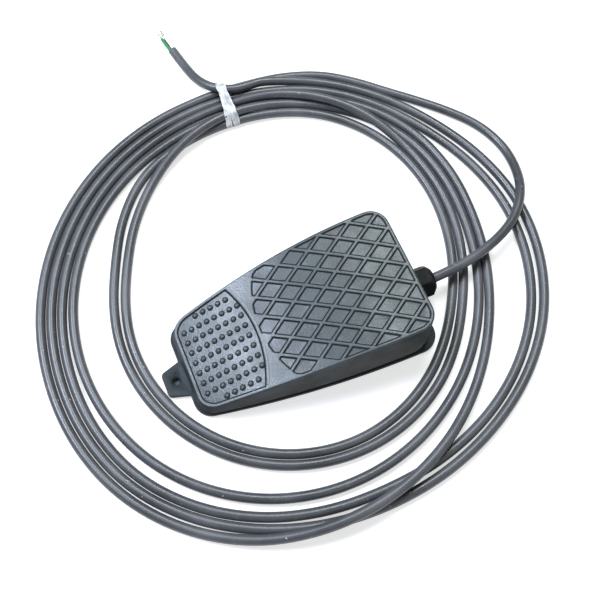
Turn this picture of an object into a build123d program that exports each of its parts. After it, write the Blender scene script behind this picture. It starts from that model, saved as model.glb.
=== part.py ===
from build123d import *
from math import asin, cos, degrees, hypot, pi, radians, sin, sqrt, tan
import os

os.makedirs("parts", exist_ok=True)

# Foot switch: +X runs from the low hinge end (heel) to the tall cord end (toe), +Z is up,
# and the origin is below the middle of the switch, on the floor it stands on.

# Overall sizes, in millimetres
base_length = 161.0      # flange, heel to toe
half_width = 46.0        # flange, at its widest
lug_reach = 13.0         # lug, beyond the heel
gland_reach = 10.5       # gland nut, beyond the toe
foot_height = 0.8        # rubber feet, below the casting
floor_thickness = 3.2    # base casting
crown_radius = 445.0     # pedal top, lengthwise
crown_height = 41.8      # rim of the pedal at the toe
side_radius = 714.0      # bow of the long sides, at the floor
pedal_travel = 2.0       # degrees, from rest to the bumpers

heel_x = lug_reach - (base_length + lug_reach + gland_reach) / 2
toe_x = heel_x + base_length
floor_z = foot_height + floor_thickness
widest_x = toe_x - 16.0
crown_x = toe_x + 2.0
block_height = crown_height + 1.0
slab = 200.0             # blank stock, larger than the switch

# Pedal casting
pedal_wall = 3.0         # side skirt
pedal_top = 3.0          # top plate under the pattern
recess = 0.8             # depth of the tiles and the stud pad
rim = 3.0                # raised border round the top
edge_round = 1.1
foot_inset_heel = 0.65   # skirt foot, inside the flange
foot_inset_toe = 2.25
crest_inset_heel = 10.8  # outline at the height of the toe's rim
crest_inset_toe = 5.5
crest_half_width = 44.1
crest_side_radius = 621.0
heel_corner = 12.0
foot_toe_corner = 20.0
crest_toe_corner = 12.0
skirt_gap = 0.7          # above the flange with the pedal fully down

# Top pattern
tile_length = 20.7       # lattice pitch along the pedal
tile_width = 13.7        # lattice pitch across it
rib_width = 2.0
lattice_node_x = toe_x - 8.3
lattice_edge_x = -25.2   # apex of the lattice's curved border
lattice_edge_radius = 76.0
pad_edge_x = -26.9       # apex of the stud pad's curved border
pad_edge_radius = 81.0
bead_width = 1.2
bead_height = 0.5
stud_radius = 1.75
stud_crown = 0.95
stud_height = 1.25
stud_root = 0.15         # below the pad's floor
stud_pitch_x = 5.27
stud_pitch_y = 7.15
stud_columns = 8
stud_rows = 9
stud_first_x = -69.1
outer_row_skip = 2       # studs left out at the heel end of the outer rows

# Base casting
wall = 3.0
wall_inset = 7.2         # inner wall, inside the skirt foot
pedal_drop_room = 6.0    # inner wall, below the pedal's underside
flange_corner = 12.5
lug_offset = -3.0
lug_root = 24.0
lug_tip = 16.0
lug_corner = 3.0
lug_hole = 4.8
lug_countersink = 7.2
lug_countersink_angle = 90
lug_hole_x = -5.3        # from the heel edge of the flange

# Hinge
hinge_x = -58.0
hinge_z = 9.0
pin_radius = 2.5
pin_running = 0.05
pin_press = 0.02
ear_radius = 4.5
pedal_ear_radius = 4.2
ear_width = 5.0
ear_inner = 11.5
ear_gap = 0.5
clip_radius = 4.0
clip_width = 1.0
groove_depth = 0.4
clip_gap = 0.6
pin_overhang = 0.8
stop_x = hinge_x - 8.0
stop_gap = 0.15
stop_half_width = 8.0
stop_thickness = 3.0

# Return spring
spring_x = -16.0
spring_radius = 5.2
spring_wire = 0.7
spring_coils = 6
spring_seat_radius = 7.5
spring_post_radius = 3.6
spring_post = 5.5
spring_seat = 1.5
spring_top_seat = 3.0
spring_gap = 0.05

# Snap switch
switch_x = 10.0
switch_length = 27.8
switch_width = 10.3
switch_height = 15.9
switch_y = 4.0
switch_z = floor_z + 2.5
switch_wall = 1.6
switch_cover_width = 3.3
switch_hole_radius = 1.55
switch_screw_radius = 1.5
switch_screw_spacing = 22.2
plunger_radius = 1.5
plunger_running = 0.06
plunger_arm = 8.0
plunger_length = 7.0
lever_x = switch_x + 1.5
lever_pin_radius = 0.8
lever_rise = 2.4
lever_thickness = 0.8
lever_width = 4.0
lever_side_gap = 0.3
lever_angle = 10.5
lever_length = 24.0
lever_arm = 20.5
contact_gap = 0.3
terminal_length = 7.0
terminal_width = 4.8
terminal_thickness = 0.8
terminal_pitch = 4.2

# Actuator screw in the pedal
actuator_radius = 2.5
actuator_boss_radius = 6.0
actuator_boss = 2.5
nut_flats = 8.0
nut_thickness = 2.7

# Bumpers
bumper_x = 62.0
bumper_y = 26.0
bumper_radius = 4.5
bumper_length = 5.0
bumper_gap = 0.2

# Rubber feet
foot_radius = 6.0
foot_recess = 1.2
foot_places = [(heel_x + 17.0, 18.0), (heel_x + 17.0, -18.0), (toe_x - 20.0, 32.0), (toe_x - 20.0, -32.0)]

# Gland
gland_y = -6.0
gland_z = 15.5
gland_thread_radius = 8.0
gland_thread_room = 0.1
gland_collar_flats = 20.0
gland_collar = 6.0
gland_nut_flats = 19.0
gland_dome = 2.2
gland_bore = 3.7
gland_tail = 11.0
seal_radius = 6.2
seal_length = 6.0
lock_nut_flats = 21.0
lock_nut_thickness = 4.0
notch_room = 1.0

# Cord
cord_diameter = 6.6
core_diameter = 2.1
conductor_diameter = 1.2
seal_grip = 0.02
lie_gap = 0.05           # between a cord and the floor

# Worked out from the sizes above
pedal_room = radians(pedal_travel)
underside_drop = recess + pedal_top
foot_heel_x = heel_x + foot_inset_heel
foot_toe_x = toe_x - foot_inset_toe
crest_heel_x = heel_x + crest_inset_heel
crest_toe_x = toe_x - crest_inset_toe


def crown_z(x, drop=0.0):
    """Height of the crowned top at x, or of a surface that lies drop below it."""
    return crown_height - crown_radius + sqrt((crown_radius - drop) ** 2 - (crown_x - x) ** 2)


def underside_z(x):
    """Height of the top plate's underside at x."""
    return crown_z(x, underside_drop)


def side_y(x, half, radius):
    """Half the width of an outline at x, on a side bowed to the given radius."""
    return half - radius + sqrt(radius**2 - (x - widest_x) ** 2)


def outline(heel, toe, half, radius, heel_round, toe_round, inset=0.0):
    """Sketch of the switch's plan: straight ends, bowed sides and round corners."""
    left = heel + inset
    right = toe - inset
    middle = (left + right) / 2
    with BuildSketch() as sketch:
        with BuildLine():
            sides = [[(x, side_y(x, half, radius) - inset) for x in (left, middle, right)]]
            sides.append([(x, -y) for x, y in sides[0]])
            for side in sides:
                ThreePointArc(*side)
            for end in (0, 2):
                Line(sides[0][end], sides[1][end])
        make_face()
        fillet(sketch.vertices().group_by(Axis.X)[0], max(heel_round - inset, 1.0))
        fillet(sketch.vertices().group_by(Axis.X)[-1], max(toe_round - inset, 1.0))
    return sketch.sketch


def skirt_outline(inset=0.0):
    """Outline of the pedal's skirt at the floor."""
    return outline(foot_heel_x, foot_toe_x, half_width, side_radius, heel_corner, foot_toe_corner, inset)


def crest_outline(inset=0.0):
    """Outline of the pedal at the height of the toe's rim."""
    return outline(
        crest_heel_x, crest_toe_x, crest_half_width, crest_side_radius, heel_corner, crest_toe_corner, inset
    )


def skirt_block(inset=0.0):
    """Tapered block between the two outlines."""
    with BuildPart() as block:
        with BuildSketch(Plane.XY):
            add(skirt_outline(inset))
        with BuildSketch(Plane.XY.offset(block_height)):
            add(crest_outline(inset))
        loft(ruled=True)
    return block.part


def under_crown(drop=0.0):
    """Everything below the crowned top, or below a surface that lies drop under it."""
    with BuildPart() as barrel:
        with BuildSketch(Plane.XZ.offset(-slab / 2)):
            with Locations((crown_x, crown_height - crown_radius)):
                Circle(crown_radius - drop)
        extrude(amount=slab)
    return barrel.part


def field_outline():
    """Plan of the top inside its raised rim, followed at the level of each x."""
    with BuildSketch() as sketch:
        with BuildLine():
            upper = []
            for share in (0.0, 0.25, 0.5, 0.75, 1.0):
                x = pedal_heel_x + rim + share * (pedal_toe_x - pedal_heel_x - 2 * rim)
                upper.append((x, pedal_y(x) - rim))
            lower = [(x, -y) for x, y in upper]
            Spline(*upper)
            Spline(*lower)
            Line(upper[0], lower[0])
            Line(upper[-1], lower[-1])
        make_face()
        fillet(sketch.vertices().group_by(Axis.X)[0], heel_corner - rim)
        fillet(sketch.vertices().group_by(Axis.X)[-1], crest_toe_corner - rim)
    return sketch.sketch


def pedal_y(x):
    """Half the width of the pedal's top edge at x."""
    foot = side_y(x, half_width, side_radius)
    crest = side_y(x, crest_half_width, crest_side_radius)
    return foot + (crest - foot) * crown_z(x) / block_height


pedal_heel_x = foot_heel_x + (crest_heel_x - foot_heel_x) * crown_z(foot_heel_x) / block_height
pedal_toe_x = foot_toe_x + (crest_toe_x - foot_toe_x) * crown_z(foot_toe_x) / block_height


def hexagon(flats):
    """Radius of the corners of a hexagon with the given width across flats."""
    return flats / sqrt(3)


# Pedal, one casting
drop_at_toe = (foot_toe_x - hinge_x) * sin(pedal_room)
skirt_heel_z = floor_z + skirt_gap
skirt_toe_z = floor_z + skirt_gap + drop_at_toe
tile_slope = hypot(tile_length, tile_width)
tile_inset = rib_width / 2 * tile_slope / (tile_length * tile_width / 2)

half_long = tile_length / 2 * (1 - tile_inset)
half_short = tile_width / 2 * (1 - tile_inset)
tile_corners = [(half_long, 0), (0, half_short), (-half_long, 0), (0, -half_short)]
tile_columns = int(base_length / tile_length) + 1
tile_rows = int(2 * half_width / tile_width) + 1
tile_places = []
for row in range(-tile_rows, tile_rows + 1):
    for column in range(-tile_columns, tile_columns + 1):
        x = lattice_node_x - (column + 0.5 * (1 + row % 2)) * tile_length
        y = row * tile_width / 2
        if lattice_edge_x - tile_length / 2 < x < toe_x + tile_length / 2 and abs(y) < half_width:
            tile_places.append((x, y))

with BuildPart() as recesses:
    with BuildSketch(Plane.XY):
        with Locations(*tile_places):
            Polygon(*tile_corners, align=None)
        add(field_outline(), mode=Mode.INTERSECT)
        with Locations((lattice_edge_x + lattice_edge_radius, 0)):
            Circle(lattice_edge_radius, mode=Mode.INTERSECT)
    with BuildSketch(Plane.XY):
        add(field_outline())
        with Locations((pad_edge_x - pad_edge_radius, 0)):
            Circle(pad_edge_radius, mode=Mode.INTERSECT)
    extrude(amount=slab)
    add(under_crown(recess), mode=Mode.SUBTRACT)

with BuildPart() as bead:
    with BuildSketch(Plane.XY):
        add(field_outline())
        with Locations((pad_edge_x - pad_edge_radius, 0)):
            Circle(pad_edge_radius + bead_width, mode=Mode.INTERSECT)
            Circle(pad_edge_radius, mode=Mode.SUBTRACT)
    extrude(amount=slab)
    add(under_crown(-bead_height), mode=Mode.INTERSECT)
    add(under_crown(recess), mode=Mode.SUBTRACT)

with BuildPart() as studs:
    for row in range(stud_rows):
        outer = row in (0, stud_rows - 1)
        first = outer_row_skip if outer else 0
        last = stud_columns - 1 if outer else stud_columns
        for column in range(first, last):
            x = stud_first_x + column * stud_pitch_x
            y = (row - (stud_rows - 1) / 2) * stud_pitch_y
            lean = degrees(asin((x - crown_x) / crown_radius))
            with Locations(Location((x, y, crown_z(x, recess + stud_root)), (0, lean, 0))):
                Cone(
                    stud_radius,
                    stud_crown,
                    stud_height + stud_root,
                    align=(Align.CENTER, Align.CENTER, Align.MIN),
                )

eye_bore = lever_pin_radius + pin_running
eye_radius = eye_bore + lever_thickness
lever_slope = tan(radians(lever_angle))
lever_top = lever_arm * lever_slope - eye_bore / cos(radians(lever_angle))
switch_top = switch_z + switch_height
lever_z = switch_top + lever_rise
contact_x = lever_x + lever_arm
contact_y = switch_y + (switch_width - switch_cover_width) / 2
tip_z = lever_z + lever_top + contact_gap
boss_z = underside_z(contact_x) - actuator_boss
post_z = floor_z + spring_seat
spring_top = underside_z(spring_x) - spring_top_seat
notch_radius = hexagon(gland_collar_flats) + notch_room
wall_toe_x = foot_toe_x - wall_inset
drop_at_bumper = (bumper_x - hinge_x) * sin(pedal_room)
bumper_top = underside_z(bumper_x) - drop_at_bumper - bumper_gap
weld = 0.5               # depth by which a boss enters the plate that carries it


def slice_plane(y_high):
    """Lengthwise upright plane at y_high, from which an extrusion runs towards -Y."""
    return Plane.XZ.offset(-y_high)


with BuildPart() as pedal:
    add(skirt_block())
    add(under_crown(), mode=Mode.INTERSECT)
    top_face = pedal.faces().filter_by(GeomType.CYLINDER).sort_by(SortBy.AREA)[-1]
    fillet(top_face.edges(), edge_round)
    add(skirt_block(pedal_wall) & under_crown(underside_drop), mode=Mode.SUBTRACT)
    with BuildSketch(Plane.XZ):
        with BuildLine():
            Polyline(
                (-slab, -slab),
                (slab, -slab),
                (slab, skirt_toe_z),
                (foot_toe_x, skirt_toe_z),
                (foot_heel_x, skirt_heel_z),
                (-slab, skirt_heel_z),
                close=True,
            )
        make_face()
    extrude(amount=slab, both=True, mode=Mode.SUBTRACT)
    add(recesses.part, mode=Mode.SUBTRACT)
    add(bead.part)
    add(studs.part)
    # Hinge ears, outside the base's ears
    ear_outer = ear_inner + ear_width + ear_gap + ear_width
    for y_high in (ear_outer, ear_width - ear_outer):
        with BuildSketch(slice_plane(y_high)):
            with Locations((hinge_x, hinge_z)):
                Circle(pedal_ear_radius)
                ear_height = underside_z(hinge_x) + weld - hinge_z
                Rectangle(2 * pedal_ear_radius, ear_height, align=(Align.CENTER, Align.MIN))
        extrude(amount=ear_width)
    with BuildSketch(slice_plane(ear_outer + 1)):
        with Locations((hinge_x, hinge_z)):
            Circle(pin_radius + pin_running)
    extrude(amount=2 * ear_outer + 2, mode=Mode.SUBTRACT)
    # Rest stop, behind the hinge
    with BuildSketch(slice_plane(stop_half_width)):
        with Locations((stop_x, floor_z + stop_gap)):
            stop_height = underside_z(stop_x - stop_thickness / 2) + weld - floor_z - stop_gap
            Rectangle(stop_thickness, stop_height, align=(Align.CENTER, Align.MIN))
    extrude(amount=2 * stop_half_width)
    # Spring seat and its guide post
    with BuildSketch(Plane.XY.offset(spring_top)):
        with Locations((spring_x, 0)):
            Circle(spring_seat_radius)
    extrude(amount=spring_top_seat + weld)
    with BuildSketch(Plane.XY.offset(spring_top)):
        with Locations((spring_x, 0)):
            Circle(spring_post_radius)
    extrude(amount=-spring_post)
    # Boss for the actuator screw
    with BuildSketch(Plane.XY.offset(boss_z)):
        with Locations((contact_x, contact_y)):
            Circle(actuator_boss_radius)
    extrude(amount=actuator_boss + weld)
    with BuildSketch(Plane.XY.offset(boss_z)):
        with Locations((contact_x, contact_y)):
            Circle(actuator_radius)
    extrude(amount=actuator_boss + pedal_top / 2, mode=Mode.SUBTRACT)
    # Notch that lets the toe skirt pass down over the gland
    with BuildSketch(Plane.YZ.offset(wall_toe_x)):
        with Locations((gland_y, gland_z + drop_at_toe)):
            Circle(notch_radius)
            Rectangle(2 * notch_radius, slab, align=(Align.CENTER, Align.MAX))
    extrude(amount=slab, mode=Mode.SUBTRACT)

# Base, one casting with its lug
lug_tip_x = heel_x - lug_reach
post_radius = bumper_radius + 0.8
peg_radius = 2.0
peg_length = 3.0
switch_post = 3.5
switch_screw_x = switch_x + (switch_length - switch_screw_spacing) / 2
switch_screw_z = switch_z + 2.9
earth_x = 47.0
earth_y = -24.0
earth_boss = 2.0
earth_screw_radius = 2.0

with BuildPart() as inner_wall:
    with BuildSketch(Plane.XY.offset(floor_z - weld)):
        add(skirt_outline(wall_inset))
        add(skirt_outline(wall_inset + wall), mode=Mode.SUBTRACT)
    extrude(amount=slab / 2)
    add(under_crown(underside_drop + pedal_drop_room), mode=Mode.INTERSECT)

with BuildPart() as base:
    with BuildSketch(Plane.XY.offset(foot_height)):
        add(outline(heel_x, toe_x, half_width, side_radius, heel_corner, flange_corner))
        with BuildSketch(mode=Mode.PRIVATE) as lug:
            with BuildLine():
                Polyline(
                    (heel_x + wall_inset, lug_offset + lug_root / 2),
                    (heel_x, lug_offset + lug_root / 2),
                    (lug_tip_x, lug_offset + lug_tip / 2),
                    (lug_tip_x, lug_offset - lug_tip / 2),
                    (heel_x, lug_offset - lug_root / 2),
                    (heel_x + wall_inset, lug_offset - lug_root / 2),
                    close=True,
                )
            make_face()
            fillet(lug.vertices().group_by(Axis.X)[0], lug_corner)
        add(lug.sketch)
    extrude(amount=floor_thickness)
    with Locations((heel_x + lug_hole_x, lug_offset, floor_z)):
        CounterSinkHole(lug_hole / 2, lug_countersink / 2, counter_sink_angle=lug_countersink_angle)
    add(inner_wall.part)
    # Hinge ears
    for y_high in (ear_inner + ear_width, -ear_inner):
        with BuildSketch(slice_plane(y_high)):
            with Locations((hinge_x, hinge_z)):
                Circle(ear_radius)
            with Locations((hinge_x, floor_z - weld)):
                ear_foot = hinge_z - floor_z + weld
                Rectangle(3 * ear_radius, floor_thickness / 2 + weld, align=(Align.CENTER, Align.MIN))
                Rectangle(2 * ear_radius, ear_foot, align=(Align.CENTER, Align.MIN))
        extrude(amount=ear_width)
    with BuildSketch(slice_plane(ear_inner + ear_width + weld)):
        with Locations((hinge_x, hinge_z)):
            Circle(pin_radius + pin_press)
    extrude(amount=2 * (ear_inner + ear_width + weld), mode=Mode.SUBTRACT)
    # Seat and guide post of the return spring
    with BuildSketch(Plane.XY.offset(floor_z - weld)):
        with Locations((spring_x, 0)):
            Circle(spring_seat_radius)
    extrude(amount=spring_seat + weld)
    with BuildSketch(Plane.XY.offset(post_z)):
        with Locations((spring_x, 0)):
            Circle(spring_post_radius)
    extrude(amount=spring_post)
    # Upright plate that carries the snap switch
    with BuildSketch(Plane.XY.offset(floor_z - weld)):
        with Locations((switch_x, switch_y)):
            Rectangle(switch_length, switch_post, align=(Align.MIN, Align.MAX))
    extrude(amount=switch_z - floor_z + switch_height / 2 + weld)
    with BuildSketch(slice_plane(switch_y + weld)):
        with Locations((switch_screw_x, switch_screw_z), (switch_screw_x + switch_screw_spacing, switch_screw_z)):
            Circle(switch_screw_radius)
    extrude(amount=switch_post + 2 * weld, mode=Mode.SUBTRACT)
    # Posts under the bumpers
    with BuildSketch(Plane.XY.offset(floor_z - weld)):
        with Locations((bumper_x, bumper_y), (bumper_x, -bumper_y)):
            Circle(post_radius)
    extrude(amount=bumper_top - bumper_length - floor_z + weld)
    with BuildSketch(Plane.XY.offset(bumper_top - bumper_length)):
        with Locations((bumper_x, bumper_y), (bumper_x, -bumper_y)):
            Circle(peg_radius)
    extrude(amount=-peg_length, mode=Mode.SUBTRACT)
    # Boss for the earth screw
    with BuildSketch(Plane.XY.offset(floor_z - weld)):
        with Locations((earth_x, earth_y)):
            Circle(2.5 * earth_screw_radius)
    extrude(amount=earth_boss + weld)
    with BuildSketch(Plane.XY.offset(floor_z + earth_boss)):
        with Locations((earth_x, earth_y)):
            Circle(earth_screw_radius)
    extrude(amount=-earth_boss - floor_thickness / 2, mode=Mode.SUBTRACT)
    # Sockets for the rubber feet
    with BuildSketch(Plane.XY.offset(foot_height)):
        with Locations(*foot_places):
            Circle(foot_radius)
    extrude(amount=foot_recess, mode=Mode.SUBTRACT)
    # Threaded hole for the gland
    with BuildSketch(Plane.YZ.offset(wall_toe_x - wall - weld)):
        with Locations((gland_y, gland_z)):
            Circle(gland_thread_radius + gland_thread_room)
    extrude(amount=wall + 2 * weld, mode=Mode.SUBTRACT)

with BuildPart() as rubber_feet:
    with BuildSketch(Plane.XY):
        with Locations(*foot_places):
            Circle(foot_radius)
    extrude(amount=foot_height + foot_recess)

# Hinge pin and its clips
pin_half = ear_outer + clip_gap + clip_width + pin_overhang
clip_y = ear_outer + clip_gap
groove_radius = pin_radius - groove_depth
with BuildPart() as hinge_pin:
    with BuildSketch(slice_plane(pin_half)):
        with Locations((hinge_x, hinge_z)):
            Circle(pin_radius)
    extrude(amount=2 * pin_half)
    chamfer(hinge_pin.edges().filter_by(GeomType.CIRCLE), groove_depth)
    for y_high in (clip_y + clip_width, -clip_y):
        with BuildSketch(slice_plane(y_high)):
            with Locations((hinge_x, hinge_z)):
                Circle(pin_radius + 1)
                Circle(groove_radius, mode=Mode.SUBTRACT)
        extrude(amount=clip_width, mode=Mode.SUBTRACT)

with BuildPart() as hinge_clips:
    for y_high in (clip_y + clip_width, -clip_y):
        with BuildSketch(slice_plane(y_high)):
            with Locations((hinge_x, hinge_z)):
                Circle(clip_radius)
                Circle(groove_radius, mode=Mode.SUBTRACT)
                Rectangle(2 * groove_radius, clip_radius + 1, align=(Align.CENTER, Align.MAX), mode=Mode.SUBTRACT)
        extrude(amount=clip_width)

# Return spring, a round-wire helix
spring_bottom = post_z + spring_gap + spring_wire
spring_free = spring_top - spring_gap - spring_wire - spring_bottom
with BuildPart() as return_spring:
    with BuildLine(Plane.XY.move(Location((spring_x, 0, spring_bottom)))):
        coil_line = Helix(pitch=spring_free / spring_coils, height=spring_free, radius=spring_radius)
    with BuildSketch(Plane(origin=coil_line @ 0, z_dir=coil_line % 0)):
        RegularPolygon(spring_wire, 8)
    sweep(path=coil_line, is_frenet=True)

# Snap switch
inside = switch_width - switch_cover_width
screw_places = [(switch_screw_x, switch_screw_z), (switch_screw_x + switch_screw_spacing, switch_screw_z)]
plunger_x = lever_x + plunger_arm
plunger_top = lever_z + plunger_arm * lever_slope - eye_radius / cos(radians(lever_angle)) - contact_gap
plunger_collar = 1.2
plunger_collar_length = 5.0
plunger_collar_width = 3.4
pivot_ear = 1.2
pivot_radius = 1.5


def switch_shell(y_low, y_high, floor_low, floor_high):
    """One half of the switch's box, with walls all round its cavity."""
    with BuildPart() as shell:
        with BuildSketch(slice_plane(y_high)):
            with Locations((switch_x, switch_z)):
                Rectangle(switch_length, switch_height, align=(Align.MIN, Align.MIN))
        extrude(amount=y_high - y_low)
        fillet(shell.edges().filter_by(Axis.Y), 0.8)
        with BuildSketch(slice_plane(floor_high)):
            with Locations((switch_x + switch_length / 2, switch_z + switch_height / 2 + 2)):
                Rectangle(switch_length - 2 * switch_wall, switch_height - 2 * switch_wall - 4)
        extrude(amount=floor_high - floor_low, mode=Mode.SUBTRACT)
        with BuildSketch(slice_plane(y_high)):
            with Locations(*screw_places):
                Circle(switch_hole_radius)
        extrude(amount=y_high - y_low, mode=Mode.SUBTRACT)
    return shell.part


terminal_heights = [switch_z + switch_height / 2 + (step - 1) * terminal_pitch for step in range(3)]
terminal_root = switch_x + switch_length
with BuildPart() as switch_case:
    add(switch_shell(switch_y, switch_y + inside, switch_y + switch_wall, switch_y + inside))
    with BuildSketch(Plane.XY.offset(switch_top)):
        with Locations((plunger_x, contact_y)):
            Circle(plunger_radius + plunger_running)
    extrude(amount=-switch_wall - 1, mode=Mode.SUBTRACT)
    # Ears that hold the lever's pin
    lever_room = lever_width / 2 + lever_side_gap
    for y_high in (contact_y - lever_room, contact_y + lever_room + pivot_ear):
        with BuildSketch(slice_plane(y_high)):
            with Locations((lever_x, lever_z)):
                Circle(pivot_radius)
            with Locations((lever_x, switch_top - weld)):
                Rectangle(2 * pivot_radius, lever_rise + weld, align=(Align.CENTER, Align.MIN))
        extrude(amount=pivot_ear)
    with BuildSketch(slice_plane(switch_y + switch_width)):
        with Locations((lever_x, lever_z)):
            Circle(lever_pin_radius + pin_press)
    extrude(amount=switch_width, mode=Mode.SUBTRACT)

with BuildPart() as switch_cover:
    low = switch_y + inside
    add(switch_shell(low, switch_y + switch_width, low, switch_y + switch_width - switch_wall))

with BuildPart() as switch_plunger:
    with Locations((plunger_x, contact_y, plunger_top)):
        Cylinder(plunger_radius, plunger_length, align=(Align.CENTER, Align.CENTER, Align.MAX))
    fillet(switch_plunger.edges().group_by(Axis.Z)[-1], 0.5)
    with Locations((plunger_x, contact_y, plunger_top - plunger_length)):
        Box(
            plunger_collar_length,
            plunger_collar_width,
            plunger_collar,
            align=(Align.CENTER, Align.CENTER, Align.MAX),
        )

# Lever: a flat strip with a rolled eye
with BuildPart() as switch_lever:
    with BuildSketch(slice_plane(contact_y + lever_width / 2)):
        with Locations(Location((lever_x, lever_z), lever_angle)):
            Circle(eye_radius)
            with Locations((0, -eye_radius)):
                Rectangle(lever_length, lever_thickness, align=(Align.MIN, Align.MIN))
            Circle(eye_bore, mode=Mode.SUBTRACT)
    extrude(amount=lever_width)

with BuildPart() as lever_pin:
    with BuildSketch(slice_plane(contact_y + lever_room + pivot_ear)):
        with Locations((lever_x, lever_z)):
            Circle(lever_pin_radius)
    extrude(amount=2 * (lever_room + pivot_ear))

with BuildPart() as switch_terminals:
    for height in terminal_heights:
        with Locations((terminal_root, switch_y + inside / 2, height)):
            Box(
                terminal_length,
                terminal_width,
                terminal_thickness,
                align=(Align.MIN, Align.CENTER, Align.CENTER),
            )

screw_head = 1.8
screw_head_radius = 2.8
screw_slot = 0.8
with BuildPart() as switch_screws:
    with BuildSketch(slice_plane(switch_y + switch_width)):
        with Locations(*screw_places):
            Circle(switch_screw_radius)
    extrude(amount=switch_width + switch_post)
    with BuildSketch(slice_plane(switch_y + switch_width + screw_head)):
        with Locations(*screw_places):
            Circle(screw_head_radius)
    extrude(amount=screw_head)
    for x, z in screw_places:
        with Locations((x, switch_y + switch_width + screw_head, z)):
            Box(2 * screw_head_radius + 1, screw_head, screw_slot, mode=Mode.SUBTRACT)

# Screw that works the lever, and its lock nut
with BuildPart() as actuator_screw:
    with Locations((contact_x, contact_y, tip_z)):
        screw_length = boss_z + actuator_boss - tip_z
        Cylinder(actuator_radius, screw_length, align=(Align.CENTER, Align.CENTER, Align.MIN))
    fillet(actuator_screw.edges().group_by(Axis.Z)[0], 1.0)

with BuildPart() as actuator_lock_nut:
    with BuildSketch(Plane.XY.offset(boss_z)):
        with Locations((contact_x, contact_y)):
            RegularPolygon(hexagon(nut_flats), 6)
            Circle(actuator_radius, mode=Mode.SUBTRACT)
    extrude(amount=-nut_thickness)

# Rubber bumpers, pegged into their posts
with BuildPart() as bumpers:
    with BuildSketch(Plane.XY.offset(bumper_top)):
        with Locations((bumper_x, bumper_y), (bumper_x, -bumper_y)):
            Circle(bumper_radius)
    extrude(amount=-bumper_length)
    fillet(bumpers.edges().group_by(Axis.Z)[-1], 1.0)
    with BuildSketch(Plane.XY.offset(bumper_top - bumper_length)):
        with Locations((bumper_x, bumper_y), (bumper_x, -bumper_y)):
            Circle(peg_radius)
    extrude(amount=-peg_length)

# Gland in the toe wall
thread_end = wall_toe_x + gland_collar
nut_start = thread_end + 0.5
nut_end = toe_x + gland_reach
seal_start = nut_end - gland_dome - seal_length - 1.0
with BuildPart() as gland_body:
    with BuildSketch(Plane.YZ.offset(wall_toe_x - gland_tail)):
        with Locations((gland_y, gland_z)):
            Circle(gland_thread_radius)
    extrude(amount=seal_start + seal_length - wall_toe_x + gland_tail)
    with BuildSketch(Plane.YZ.offset(wall_toe_x)):
        with Locations((gland_y, gland_z)):
            RegularPolygon(hexagon(gland_collar_flats), 6)
    extrude(amount=gland_collar)
    with BuildSketch(Plane.YZ.offset(wall_toe_x - gland_tail)):
        with Locations((gland_y, gland_z)):
            Circle(gland_bore)
    extrude(amount=slab, mode=Mode.SUBTRACT)
    with BuildSketch(Plane.YZ.offset(seal_start)):
        with Locations((gland_y, gland_z)):
            Circle(seal_radius)
    extrude(amount=slab, mode=Mode.SUBTRACT)

with BuildPart() as gland_seal:
    with BuildSketch(Plane.YZ.offset(seal_start)):
        with Locations((gland_y, gland_z)):
            Circle(seal_radius)
            Circle(cord_diameter / 2 + seal_grip, mode=Mode.SUBTRACT)
    extrude(amount=seal_length)

with BuildPart() as gland_nut:
    with BuildSketch(Plane.YZ.offset(nut_start)):
        with Locations((gland_y, gland_z)):
            RegularPolygon(hexagon(gland_nut_flats), 6)
    extrude(amount=nut_end - gland_dome - nut_start)
    with BuildSketch(Plane.YZ.offset(nut_end - gland_dome)):
        with Locations((gland_y, gland_z)):
            Circle(gland_nut_flats / 2)
    with BuildSketch(Plane.YZ.offset(nut_end)):
        with Locations((gland_y, gland_z)):
            Circle(gland_nut_flats / 2 - gland_dome)
    loft()
    with BuildSketch(Plane.YZ.offset(nut_start)):
        with Locations((gland_y, gland_z)):
            Circle(gland_thread_radius + pin_press)
    extrude(amount=seal_start + seal_length - nut_start, mode=Mode.SUBTRACT)
    with BuildSketch(Plane.YZ.offset(nut_start)):
        with Locations((gland_y, gland_z)):
            Circle(gland_bore)
    extrude(amount=slab, mode=Mode.SUBTRACT)

with BuildPart() as gland_lock_nut:
    with BuildSketch(Plane.YZ.offset(wall_toe_x - wall)):
        with Locations((gland_y, gland_z)):
            RegularPolygon(hexagon(lock_nut_flats), 6)
            Circle(gland_thread_radius, mode=Mode.SUBTRACT)
    extrude(amount=-lock_nut_thickness)

# Earth screw and its ring terminal
ring_thickness = 0.8
ring_z = floor_z + earth_boss
barrel_length = 5.0
with BuildPart() as earth_terminal:
    with BuildSketch(Plane.XY.offset(ring_z)):
        with Locations((earth_x, earth_y)):
            Circle(4.0)
            Rectangle(3.0, 4.0 + barrel_length, align=(Align.CENTER, Align.MIN))
            Circle(earth_screw_radius, mode=Mode.SUBTRACT)
    extrude(amount=ring_thickness)
with BuildPart() as earth_screw:
    with Locations((earth_x, earth_y, ring_z + ring_thickness)):
        Cylinder(3.6, 2.2, align=(Align.CENTER, Align.CENTER, Align.MIN))
    fillet(earth_screw.edges().group_by(Axis.Z)[-1], 0.8)
    with Locations((earth_x, earth_y, ring_z + ring_thickness)):
        Cylinder(
            earth_screw_radius,
            earth_boss + ring_thickness + 1,
            align=(Align.CENTER, Align.CENTER, Align.MAX),
        )
    with Locations((earth_x, earth_y, ring_z + ring_thickness + 2.2)):
        Box(8.0, 1.0, 2.0, mode=Mode.SUBTRACT)


def bend_radii(points):
    """Radius of the arc at each inner point, 0.45 of its shorter run over the tangent of half the turn."""
    found = []
    for before, here, after in zip(points, points[1:], points[2:]):
        into = Vector(*here) - Vector(*before)
        out = Vector(*after) - Vector(*here)
        turn = into.get_angle(out)
        found.append(0.45 * min(into.length, out.length) / tan(radians(turn / 2)))
    return found


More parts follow.
